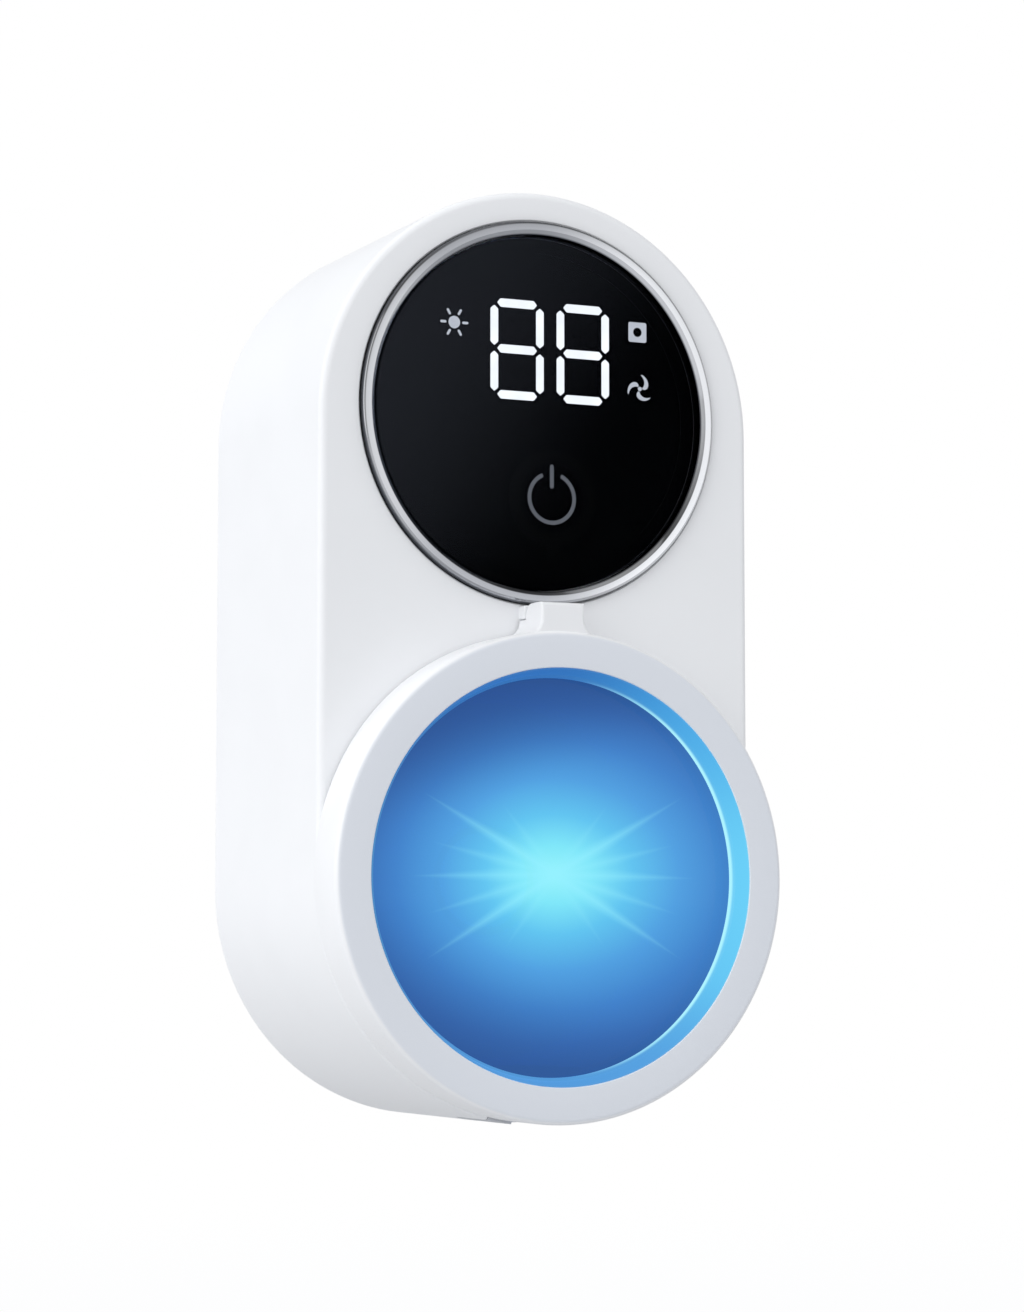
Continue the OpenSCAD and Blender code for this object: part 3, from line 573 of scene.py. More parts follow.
def board(name, colour):
    """Circuit board with paler, sunken lines between square cells."""
    m = new_material(name)
    fine = m.noise(scale=1400.0)
    cells = m.node("TexVoronoi", feature="DISTANCE_TO_EDGE", distance="MANHATTAN")
    m.put(cells.inputs["Vector"], m.object_coords())
    cells.inputs["Scale"].default_value = 420.0
    tracks = m.ease(cells, 0.03, 0.06)
    c = m.mix(tracks, tuple(min(1.0, x * 1.9 + 0.01) for x in colour), colour)
    return m.done(m.bsdf(Base_Color=c, Roughness=0.28 + fine * 0.1, Coat_Weight=0.4,
                         Normal=m.bump(tracks, strength=0.4, distance=0.00004)))


def foil(name, colour, rough):
    m = new_material(name)
    n = m.noise(scale=600.0, detail=3.0, rough=0.6)
    c = m.mix(n, tuple(x * 0.8 for x in colour), colour)
    return m.done(m.bsdf(Base_Color=c, Roughness=rough + n * 0.2, Coat_Weight=0.3,
                         Normal=m.bump(n, strength=0.15, distance=0.0001)))


def lit(name, colour, strength):
    """A diffusing light guide, a touch uneven across its length."""
    m = new_material(name)
    c = m.patchy(m.noise(scale=260.0), colour, 0.3, 0.75, dark=0.90)
    return m.done(m.bsdf(Base_Color=(0.8, 0.8, 0.8), Roughness=0.5, Emission_Color=c,
                         Emission_Strength=strength))


def door_material():
    """Satin white with painted shade: the flat front is painted greyer than the side wall."""
    m = new_material("door_satin_painted_front_shade")
    broad = m.noise(scale=55.0)
    fine = m.noise(scale=5000.0, rough=0.6)
    normal_y = m.xyz(m.node("TexCoord").outputs["Normal"])[1]
    # painted shade: faces that look to the front are mixed towards a greyer white
    painted_front_shade = m.ease(normal_y * -1.0, 0.72, 1.0)
    white = m.mix(m.ease(broad, 0.35, 0.65), srgb(246, 247, 249), srgb(249, 250, 252))
    c = m.mix(painted_front_shade, white, srgb(230, 234, 241))
    return m.done(moulded(m, broad, fine, c, rough=0.30, grain=0.08, spec=0.45))


# ---------------------------------------------------------------- the glow seen through the window
def from_window(m, cx, cz):
    """(dx, dz) in mm from a point near the window's centre."""
    x, _, z = m.xyz()
    return x * 1000.0 - cx, z * 1000.0 - cz


def wall_distance(m):
    return m.xyz()[1] * -1000.0


# painted light rays: (angle in degrees, length in mm, brightness), mirrored to both sides of the
# centre
RAYS = [(29, 25, 0.9), (13, 21, 0.6), (-1, 24, 0.8), (-16, 22, 0.65), (-31, 25, 0.9),
        (50, 14, 0.4), (-53, 14, 0.4)]


def rays(m, dx, dz, specs, width):
    """Painted light rays, tapering to both sides of the centre; width is in mm at the root."""
    across = abs(dx)
    total = None
    for angle, length, brightness in specs:
        c, s = math.cos(math.radians(angle)), math.sin(math.radians(angle))
        along = across * c + dz * s
        aside = abs(across * s - dz * c)
        fade = m.math("SUBTRACT", 1.0, along / length, clamp=True)
        half_width = fade * width + 0.06
        core = m.math("SUBTRACT", 1.0, aside / half_width, clamp=True)
        ray = core ** 1.3 * fade ** 1.0 * brightness
        total = ray if total is None else m.max(total, ray)
    return total


def blue_ramp(m, d):
    """Pale cyan at the centre (0) to deep blue at the rim (1)."""
    return m.ramp(d, [
        (0.00, srgb(152, 244, 248)),
        (0.15, srgb(128, 230, 244)),
        (0.31, srgb(98, 196, 236)),
        (0.50, srgb(82, 160, 221)),
        (0.70, srgb(66, 130, 199)),
        (0.88, srgb(56, 106, 174)),
        (1.00, srgb(50, 94, 158))])


def fresnel(m, ior):
    return Value(m, m.shader("Fresnel", IOR=ior).outputs[0])


def window_material():
    """Tinted clear plastic with a painted glow: emission stands in for the chamber's blue light, with
    painted rays and painted shade.
    """
    m = new_material("window_tint_and_painted_glow")
    dx, dz = from_window(m, 0.4, WINDOW_Z + 0.4)
    # a painted oval glow, 29 mm high and 37 mm wide, widening to 42 mm on the right
    d = m.length(dx / (37.0 + m.ease(dx, -10.0, 14.0) * 5.0), dz / 29.0)
    c = blue_ramp(m, d)
    # painted shade: darker towards the top left and the bottom left, then again along the top
    shade = m.ease(abs(dz) * 1.0 + dx * -0.45, 14.0, 36.0, high=0.42)
    c = m.mix(shade, c, srgb(44, 80, 140))
    c = m.mix(m.ease(dz - dx * 0.25, 13.0, 31.0, high=0.5), c, srgb(36, 72, 132))
    # painted light rays over the glow
    c = m.mix(rays(m, dx, dz, RAYS, width=1.9) * 0.85, c, srgb(150, 240, 252))
    glow = m.shader("Emission", Color=c, Strength=1.04)
    clear = m.shader("BsdfTransparent", Color=(0.55, 0.80, 1.0))
    body = m.blend(0.86, clear, glow)
    gloss = m.shader("BsdfGlossy", Roughness=0.06)
    return m.done(m.blend(fresnel(m, 1.3) * 0.5, body, gloss))


def reflector_material():
    # painted glow: the dish's emission and painted rays stand in for the lamp's light falling on it
    m = new_material("reflector_lit_blue")
    dx, dz = from_window(m, 0.0, WINDOW_Z)
    c = blue_ramp(m, (m.length(dx, dz) - 5.0) / 25.0)
    ray = rays(m, dx, dz, [(a, length * 1.1, k) for a, length, k in RAYS], width=1.3)
    c = m.mix(ray * 0.7, c, srgb(170, 245, 255))
    n = m.noise(scale=900.0, detail=3.0, rough=0.6)
    return m.done(m.bsdf(Base_Color=srgb(120, 180, 235), Metallic=0.35, Roughness=0.25 + n * 0.15,
                         Emission_Color=c, Emission_Strength=0.75,
                         Normal=m.bump(n, strength=0.1, distance=0.00004)))


def liner_material():
    """Pale blue plastic with a painted glow in place of the lamp's light, brightest at the front rim.
    """
    m = new_material("liner_lit_blue")
    depth = m.ease(wall_distance(m), LINER_FLOOR, FRONT)
    n = m.noise(scale=700.0, detail=3.0, rough=0.55)
    c = m.ramp(depth, [(0.0, srgb(60, 130, 215)), (0.6, srgb(52, 112, 196)),
                       (1.0, srgb(92, 170, 232))])
    return m.done(m.bsdf(Base_Color=srgb(110, 175, 235), Roughness=0.3 + n * 0.1,
                         Emission_Color=c, Emission_Strength=0.42,
                         Normal=m.bump(n, strength=0.08, distance=0.00004)))


def glow_ring_material():
    """Frosted light guide with painted light: a painted highlight on the right,
    painted shade at the top and the left, and a painted highlight line beside the window."""
    m = new_material("glow_ring_frosted")
    dx, dz = from_window(m, 0.0, WINDOW_Z)
    f = wall_distance(m)
    # painted highlight: brighter towards the right side
    side = m.ease(dx, -31.0, 31.0, smooth=False)
    c = m.ramp(side, [(0.0, srgb(66, 128, 184)), (0.45, srgb(62, 132, 200)),
                      (0.72, srgb(76, 160, 220)), (1.0, srgb(104, 204, 240))])
    # painted shade at the top, and a lighter painted bottom
    c = m.mix(m.ease(dz, 2.0, 30.0, high=0.75), c,
              m.mix(m.ease(dx, 0.0, 26.0), srgb(38, 94, 168), srgb(66, 160, 222)))
    c = m.mix(m.ease(dz, -14.0, -30.0, high=0.7), c, srgb(84, 150, 210))
    # painted highlight line along the inner edge, beside the window
    inner = m.ease(f, GLOW_BACK + 1.15, GLOW_BACK + 0.75)
    c = m.mix(inner * m.ease(dx, 2.0, 24.0), c, srgb(176, 244, 250))
    n = m.noise(scale=1800.0)
    return m.done(m.bsdf(Base_Color=(0.02, 0.06, 0.10), Roughness=0.28 + n * 0.1,
                         Emission_Color=c, Emission_Strength=0.95, Specular_IOR_Level=0.3,
                         Normal=m.bump(n, strength=0.05, distance=0.00003)))


def quartz_material():
    m = new_material("quartz_lit")
    r = m.length(*from_window(m, 0.0, WINDOW_Z))
    c = m.ramp(r / 7.3, [(0.0, srgb(235, 255, 255)), (0.35, srgb(190, 248, 255)),
                         (0.8, srgb(110, 222, 246)), (1.0, srgb(90, 190, 240))])
    n = m.noise(scale=300.0)
    return m.done(m.bsdf(Base_Color=srgb(170, 225, 245), Roughness=0.05 + n * 0.05,
                         Emission_Color=c, Emission_Strength=0.95, Coat_Weight=1.0))


# ---------------------------------------------------------------- display glass and chrome
def from_display(m):
    """(x, z) in mm from the display's centre."""
    x, _, z = m.xyz()
    return x * 1000.0, z * 1000.0 - DISPLAY_Z


def display_glass_material():
    """Smoked cover glass with a painted reflection: its soft sheen is made to fall off to the lower
    right.
    """
    m = new_material("display_smoked_glass")
    x, z = from_display(m)
    n = m.noise(scale=2600.0)
    # painted reflection: the sheen is scaled by position, strongest at the upper left
    sheen = 0.03 + m.ease(z * 0.55 - x * 0.83, -14.0, 32.0) * 0.62
    clear = m.shader("BsdfTransparent", Color=(0.36, 0.37, 0.39))
    gloss = m.shader("BsdfGlossy", Roughness=0.11 + n * 0.02, Color=(0.74, 0.82, 1.0))
    return m.done(m.blend(fresnel(m, 1.42) * sheen, clear, gloss))


def chrome_material():
    """Polished plating with painted light: painted highlights at both sides, and painted shadow lines
    at its inner and outer edge.
    """
    m = new_material("chrome_plate")
    x, z = from_display(m)
    r = m.length(x, z)
    n = m.noise(scale=900.0)
    # painted shadow lines at the inner and outer edge
    rim = m.max(m.ease(r, BEZEL_R - 0.30, BEZEL_R - 0.06),
                m.ease(r, BEZEL_BORE + 0.34, BEZEL_BORE + 0.10))
    u = x / r
    # painted highlights: brighter at the right side and, less so, at the left
    side = m.max(m.ease(u, -0.05, 0.65), m.ease(u * -1.0, 0.55, 0.95, high=0.55))
    c = m.mix(rim, m.mix(side, (0.44, 0.45, 0.475), (0.84, 0.85, 0.87)), (0.10, 0.105, 0.12))
    return m.done(m.bsdf(Base_Color=c, Metallic=1.0, Roughness=0.08 + n * 0.05,
                         Normal=m.bump(n, strength=0.02, distance=0.00002)))


def wire(name, colour):
    return rubber(name, colour, rough=0.45, grain=0.15, grain_mm=0.3)


LOOKS = {
    "housing_white": plastic("housing_satin_abs", srgb(247, 248, 250), rough=0.36, grain=0.10,
                             grain_mm=0.22, var=0.012, spec=0.42),
    "cover_white": plastic("cover_matt_abs", srgb(240, 241, 243), rough=0.52, grain=0.30,
                           grain_mm=0.35, var=0.03),
    "door_white": door_material(),
    "neck_white": plastic("neck_satin_abs", srgb(247, 248, 250), rough=0.30, grain=0.08,
                          grain_mm=0.2, var=0.012, spec=0.45),
    "chrome_trim": chrome_material(),
    "display_glass": display_glass_material(),
    "mask_black": plastic("mask_matt_black", srgb(8, 10, 24), rough=0.55, grain=0.1,
                          grain_mm=0.3, var=0.2, spec=0.15),
    "segment_white": lit("segment_lit", srgb(250, 250, 246), strength=8.0),
    "icon_grey": lit("icon_lit", srgb(205, 206, 208), strength=6.5),
    "power_dim": lit("power_lit", srgb(200, 202, 206), strength=1.35),
    "foil_black": foil("electrode_foil", srgb(14, 15, 18), rough=0.5),
    "pcb_green": board("board_green", (0.012, 0.09, 0.035)),
    "pcb_white": board("board_white", (0.72, 0.73, 0.71)),
    "chip_black": plastic("chip_epoxy", (0.012, 0.012, 0.014), rough=0.45, grain=0.35,
                          grain_mm=0.12, var=0.2),
    "led_cream": plastic("led_phosphor", (0.80, 0.70, 0.28), rough=0.35, grain=0.1,
                         grain_mm=0.2, var=0.15),
    "led_gold": metal("led_pads", (0.83, 0.62, 0.24), rough=0.3),
    "liner_blue": liner_material(),
    "reflector_bright": reflector_material(),
    "quartz": quartz_material(),
    "aluminium": metal("aluminium_turned", (0.76, 0.77, 0.79), rough=0.28, streak=(1, 12, 1)),
    "silicone_grey": rubber("silicone_grey_matt", srgb(200, 202, 207), rough=0.5, grain=0.15,
                            grain_mm=0.3, sss=0.15),
    "silicone_clear": rubber("silicone_translucent", srgb(214, 219, 226), rough=0.42, grain=0.1,
                             grain_mm=0.3, sss=0.3),
    "gasket_foam": rubber("gasket_foam_black", (0.012, 0.012, 0.013), rough=0.9, grain=0.8,
                          grain_mm=0.18),
    "pad_foam": rubber("pad_foam_grey", srgb(150, 152, 156), rough=0.92, grain=0.9, grain_mm=0.3),
    "steel": metal("steel_zinc", (0.66, 0.67, 0.69), rough=0.3, streak=(1, 1, 9)),
    "magnet_nickel": metal("nickel_plate", (0.70, 0.69, 0.67), rough=0.16),
    "heater_frame_plastic": plastic("nylon_glass_filled", srgb(222, 212, 186), rough=0.55,
                                    grain=0.5, grain_mm=0.3, var=0.12),
    "ptc_dark": plastic("ptc_sleeve", (0.04, 0.04, 0.045), rough=0.6, grain=0.4,
                        grain_mm=0.3, var=0.25),
    "fan_black": plastic("fan_nylon", (0.02, 0.02, 0.022), rough=0.45, grain=0.3,
                         grain_mm=0.25, var=0.2),
    "bronze": metal("bronze_sintered", (0.62, 0.42, 0.20), rough=0.4, grain=0.5, scale=4000.0),
    "copper": metal("copper_winding", (0.72, 0.33, 0.16), rough=0.3, streak=(1, 40, 1),
                    grain=0.8, scale=900.0),
    "probe_red": plastic("probe_epoxy", (0.16, 0.012, 0.010), rough=0.2, grain=0.05,
                         grain_mm=0.3, var=0.2, coat=0.6),
    "component_grey": metal("component_cans", (0.34, 0.38, 0.43), rough=0.4),
    "connector_ivory": plastic("connector_nylon", srgb(232, 228, 208), rough=0.5, grain=0.2,
                               grain_mm=0.25, var=0.06),
    "battery_wrap": foil("battery_film", (0.045, 0.16, 0.48), rough=0.25),
    "wire_red": wire("wire_red_silicone", (0.45, 0.015, 0.012)),
    "wire_blue": wire("wire_blue_silicone", (0.015, 0.035, 0.30)),
    "wire_orange": wire("wire_orange_silicone", (0.70, 0.14, 0.015)),
    "wire_yellow": wire("wire_yellow_silicone", (0.72, 0.48, 0.02)),
    "ribbon_white": plastic("ribbon_film", srgb(236, 236, 230), rough=0.4, grain=0.4,
                            grain_mm=0.5, var=0.08),
    "glow_blue": glow_ring_material(),
    "window_blue": window_material(),
}

for name, ob in NODES.items():
    slots = ob.data.materials
    if not len(slots):
        slots.append(None)
    for i in range(len(slots)):
        slots[i] = LOOKS[SLOT[name]]


def piece(ob, slot, *nodes, body=None):
    """Paints a piece and puts it in the place of the nodes it replaces."""
    ob.data.materials.clear()
    ob.data.materials.append(LOOKS[slot])
    for polygon in ob.data.polygons:
        polygon.material_index = 0
    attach(ob, body or BODY[nodes[0]])
    if nodes:
        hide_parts(*nodes)


# ---------------------------------------------------------------- housing
SLOT_HALF = 7.0  # half width of the brush slot
SLOT_FLAT = 4.8  # half width of its flat back
TONGUE_R = 1.9


def slot_outline(half, f_open, steps=10):
    """(x, f) of the brush slot: flat behind, with rounded corners, open to the front."""
    c = half - SLOT_FLAT
    out = [(sign * SLOT_FLAT + c * math.cos(a), SLOT_F - SLOT_FLAT + c * math.sin(a))
           for sign, start, end in ((1, 0, -math.pi / 2), (-1, -math.pi / 2, -math.pi))
           for a in np.linspace(start, end, steps)]
    return [(half, f_open)] + out + [(-half, f_open)]


def bottom_turned(profile):
    """A cutter turned about the centre of the housing's lower round end."""
    return lathe("cut", profile, 0, -END_Z, 256)


def housing():
    # profiles are (radius, f, corner radius)
    shell = pill("housing", rounded([
        (0, FRONT), (SHELL_R, FRONT, 1.2), (SHELL_R, SHELL_BACK, 0.6),
        (SHELL_BORE, SHELL_BACK, 0.15), (SHELL_BORE, FRONT - 2.2, 0.6), (0, FRONT - 2.2)],
        7, closed=False), END_Z)
    # display seat
    boolean(shell, lathe("cut", [
        (0, FRONT + 3), (BEZEL_R + 0.32, FRONT + 3), (BEZEL_R + 0.32, FRONT),
        (BEZEL_R + 0.1, FRONT - 0.22), (BEZEL_R + 0.1, FRONT - 1.6), (25.2, FRONT - 1.6),
        (25.2, FRONT - 6), (0, FRONT - 6)], 0, DISPLAY_Z))
    # chamber mouth
    boolean(shell, lathe("cut", [
        (0, FRONT + 3), (32.85, FRONT + 3), (32.85, FRONT), (32.6, FRONT - 0.25),
        (32.6, FRONT - 0.9), (30.9, FRONT - 0.9), (30.9, FRONT - 6), (0, FRONT - 6)], 0, WINDOW_Z))
    # brush slot, and the shallow seat round it for the grommet's outer lip
    boolean(shell, prism("cut", slot_outline(SLOT_HALF, FRONT + 3), BOTTOM - 3, WINDOW_Z - 24,
                         axis="z"))
    lip_seat = prism("cut", slot_outline(8.55, FRONT + 3), BOTTOM - 3, BOTTOM + 4, axis="z")
    boolean(lip_seat, bottom_turned([
        (SHELL_R - 0.95, SLOT_F - 12), (SHELL_R + 4, SLOT_F - 12),
        (SHELL_R + 4, FRONT + 4), (SHELL_R - 0.95, FRONT + 4)]), "INTERSECT")
    boolean(shell, lip_seat)
    # charging port on the right side: flap recess, socket hole and barrel pocket
    f0, f1 = USB_F - 4.25, USB_F + 4.35
    boolean(shell, prism("cut", rect(FLAP_Z - 1.6, USB_Z + 6.8, f0, f1, 0.7),
                         SHELL_R - 0.85, SHELL_R + 2, axis="x"))
    boolean(shell, prism("cut", capsule(USB_Z, USB_F, 1.95, 2.85), SHELL_BORE - 4, SHELL_R + 1,
                         axis="x"))
    boolean(shell, prism("cut", circle(FLAP_X, FLAP_Z, 1.35, 48), f0, f1))
    soften(shell)
    piece(shell, "housing_white", "front_shell")


def housing_hinge():
    """The housing's half of the hinge."""
    nose = [(PIN_Z - TONGUE_R * math.cos(a), PIN_F + TONGUE_R * math.sin(a))
            for a in np.linspace(0, math.pi, 25)[1:-1]]
    outline = [(PIN_Z - TONGUE_R, FRONT - 1.2), (PIN_Z - TONGUE_R, PIN_F)] + nose
    outline += [(PIN_Z + TONGUE_R, PIN_F), (PIN_Z + TONGUE_R, FRONT - 1.2)]
    tongue = prism("hinge_tongue", outline, -1.9, 1.9, axis="x", edge0=0.25, edge1=0.25)
    saddle = prism("hinge_saddle", rect(-PIN_X1, PIN_X1, PIN_Z + 0.02, PIN_Z + 2.1, 0.3, 4),
                   FRONT - 1, FRONT + 2, edge1=0.3)
    for ob in (tongue, saddle):
        soften(ob)
        piece(ob, "housing_white", "front_shell")


housing()
housing_hinge()

# ---------------------------------------------------------------- rear cover, wall plate and pad
SCREW_R = 29.6  # the screws' distance from the middle, or from an end's centre
SCREWS = [(SCREW_R, 0.0), (-SCREW_R, 0.0)]
SCREWS += [(sx * SCREW_R * math.cos(math.pi / 4), sz * (END_Z + SCREW_R * math.sin(math.pi / 4)))
           for sx in (-1, 1) for sz in (-1, 1)]
HOOKS = [(x, z) for x in (-18, 18) for z in (-22, 22)]
# (x, z) from a hook's centre: a narrow run with a wide entry below
KEYHOLE = [(2.2, 2.1), (-2.2, 2.1), (-2.2, -7.7), (-4.3, -7.7),
           (-4.3, -12.3), (4.3, -12.3), (4.3, -7.7), (2.2, -7.7)]
VENT_R, VENT_PITCH = 11, 2.4
PLATE_HOLE_Z = 40
PLATE_END_Z = 27


def rear_cover():
    cover = pill("rear_cover_shell", rounded([
        (0, 5.8), (COVER_R, 5.8, 0.3), (COVER_R, COVER_BACK, 0.35),
        (COVER_R - 1.6, COVER_BACK, 0.3), (COVER_R - 1.6, 3.6, 0.4), (0, 3.6)],
        4, closed=False), END_Z)
    cuts = [lathe("cut", [(0, 0), (2.65, 0), (2.65, 3.6), (2.5, 3.75), (2.5, 5.02), (1.3, 5.02),
                          (1.3, 7), (0, 7)], x, z, 48) for x, z in SCREWS]
    for x, z in HOOKS:
        outline = rounded([(x + a, z + b, 0.5) for a, b in KEYHOLE], 4)
        cuts.append(prism("cut", outline, 2, 7))
    for i in range(-4, 5):
        x = i * VENT_PITCH
        half = math.sqrt(VENT_R ** 2 - x ** 2) - 0.3
        cuts.append(prism("cut", rect(x - 0.6, x + 0.6, FAN_Z - half, FAN_Z + half, 0.55, 5), 2, 7))
    boolean(cover, join("cuts", cuts))
    soften(cover)
    piece(cover, "cover_white", "rear_cover")


def cross_screw(x, z):
    """Pan head with a cross recess. The head's top faces the wall."""
    f0, head_r, head_h, shank_r, length = 3.7, 2.2, 1.3, 1.05, 7.4
    screw = lathe("screw", rounded([
        (0, f0), (head_r * 0.55, f0 + 0.02), (head_r, f0 + head_h * 0.5, 0.35),
        (head_r, f0 + head_h, 0.1), (shank_r, f0 + head_h, 0.1),
        (shank_r, f0 + head_h + length, 0.3), (0, f0 + head_h + length)],
        4, closed=False), x, z, 64)
    reach, half = head_r * 0.6, 0.24
    for dx, dz in ((reach, half), (half, reach)):
        boolean(screw, prism("cut", rect(x - dx, x + dx, z - dz, z + dz, 0.15, 3),
                             f0 - 0.5, f0 + head_h * 0.62))
    return screw


def wall_plate():
    plate = pill("wall_plate_body", rounded([
        (0, 3.0), (29, 3.0, 0.5), (29, 0.82, 0.2), (0, 0.82)], 5, closed=False), PLATE_END_Z)
    boolean(plate, join("cuts", [
        lathe("cut", [(0, 0), (2.2, 0), (2.2, 1.5), (4.1, 3.4), (4.1, 4.5), (0, 4.5)],
              0, s * PLATE_HOLE_Z, 64) for s in (-1, 1)]))
    parts = []
    for x, z in HOOKS:
        parts.append(prism("stem", rect(x - 2, x + 2, z - 2, z + 2, 0.4, 4), 2.9, 6.3))
        parts.append(prism("head", rect(x - 4, x + 4, z - 2, z + 2, 0.6, 4), 6.1, 7.6,
                           edge0=0.2, edge1=0.3))
    for s in (-1, 1):
        parts.append(prism("rib", rect(-8, 8, s * 8 - 0.6, s * 8 + 0.6, 0.3, 3), 2.9, 3.4,
                           edge1=0.2))
    hooks = join("plate_hooks", parts)
    soften(plate)
    piece(plate, "cover_white", "wall_plate")
    piece(hooks, "cover_white", "wall_plate")


def adhesive_pad():
    pad = pill("adhesive_pad_foam", rounded([
        (0, 0.8), (26, 0.8, 0.1), (26, 0.0, 0.15), (0, 0.0)], 3, closed=False), PLATE_END_Z)
    boolean(pad, join("cuts", [
        lathe("cut", [(0, -1), (5, -1), (5, 2), (0, 2)], 0, s * PLATE_HOLE_Z, 64)
        for s in (-1, 1)]))
    piece(pad, "pad_foam", "adhesive_pad")


rear_cover()
piece(join("cover_screws", [cross_screw(x, z) for x, z in SCREWS]), "steel", "rear_cover_screws")
wall_plate()
adhesive_pad()

# ---------------------------------------------------------------- display
MASK_FRONT = FRONT - 1.52
PRINT_R = 25.05  # inner radius of the black border print
DIGIT_W = 9.0
BAR_W = 1.3
MARK_GAP = 0.03  # play between a mark and its opening in the mask
SUN_AT = (-13.6, DISPLAY_Z + 13.3)
SQUARE_AT = (17.6, DISPLAY_Z + 14.1)
SQUARE_HOLE_R = 0.75
SWIRL_AT = (18.0, DISPLAY_Z + 5.2)
POWER_AT = (2.8, DISPLAY_Z - 12.8)


def bar(cx, cz, length, w, vertical):
    """A digit bar with pointed ends."""
    tip, shoulder = length / 2, length / 2 - w * 0.42
    o = rounded([(-tip, 0, 0.12), (-shoulder, -w / 2, 0.35), (shoulder, -w / 2, 0.35),
                 (tip, 0, 0.12), (shoulder, w / 2, 0.35), (-shoulder, w / 2, 0.35)], 4)
    if vertical:
        o = [(-b, a) for a, b in o]
    return shift(o, cx, cz)


def digit_outlines():
    height = DIGITS_Z1 - DIGITS_Z0
    cz = (DIGITS_Z0 + DIGITS_Z1) / 2
    out = []
    for cx in (DIGITS_X0 + DIGIT_W / 2, DIGITS_X1 - DIGIT_W / 2):
        for s in (-1, 0, 1):
            out.append(bar(cx, cz + s * (height - BAR_W) / 2, DIGIT_W - BAR_W - 1.0, BAR_W, False))
        for s in (-1, 1):
            for t in (-1, 1):
                out.append(bar(cx + s * (DIGIT_W - BAR_W) / 2, cz + t * (height - BAR_W) / 4,
                               (height - BAR_W) / 2 - 0.9, BAR_W, True))
    return out


def thick_line(x0, z0, x1, z1, w):
    d = math.hypot(x1 - x0, z1 - z0)
    a = math.atan2(z1 - z0, x1 - x0)
    mx, mz = (x0 + x1) / 2, (z0 + z1) / 2
    return [(mx + p * math.cos(a) - q * math.sin(a), mz + p * math.sin(a) + q * math.cos(a))
            for p, q in capsule(0, 0, w / 2, d / 2, 6)]


def arc_strip(cx, cz, r0, r1, a0, a1, n):
    angles = np.radians(np.linspace(a0, a1, n))
    return ([(cx + r1 * math.cos(a), cz + r1 * math.sin(a)) for a in angles]
            + [(cx + r0 * math.cos(a), cz + r0 * math.sin(a)) for a in angles[::-1]])


def sun_outlines(x, z):
    """A disc with six short rays."""
    out = [circle(x, z, 0.95, 40)]
    for k in range(6):
        a = math.radians(60 * k)
        c, s = math.cos(a), math.sin(a)
        out.append(thick_line(x + 1.5 * c, z + 1.5 * s, x + 2.15 * c, z + 2.15 * s, 0.36))
    return out


def swirl_outlines(x, z):
    """Three curved blades and a hub."""
    out = []
    for k in range(3):
        a0 = math.radians(20 + 120 * k)
        blade = []
        for t in np.linspace(0, 1, 14):
            a, r = a0 + 1.15 * t, 0.45 + 1.75 * t
            blade.append((x + r * math.cos(a), z + r * math.sin(a)))
        for t in np.linspace(1, 0, 14):
            a = a0 + 1.15 * t - 0.75 * math.sin(math.pi * min(1, t * 0.75 + 0.2))
            r = 0.5 + 1.75 * t
            blade.append((x + r * math.cos(a), z + r * math.sin(a)))
        out.append(blade)
    return out + [circle(x, z, 0.33, 24)]


def mark(outline):
    return prism("mark", outline, MARK_BACK, MARK_FRONT)


def opening(outline):
    return prism("cut", grow(outline, MARK_GAP), FRONT - 8, FRONT)


def pierced(ob, radius, f0, f1):
    """The square mark, or its opening, with the round hole in its middle."""
    boolean(ob, prism("cut", circle(*SQUARE_AT, radius, 40), f0 - 1, f1 + 1))
    return ob


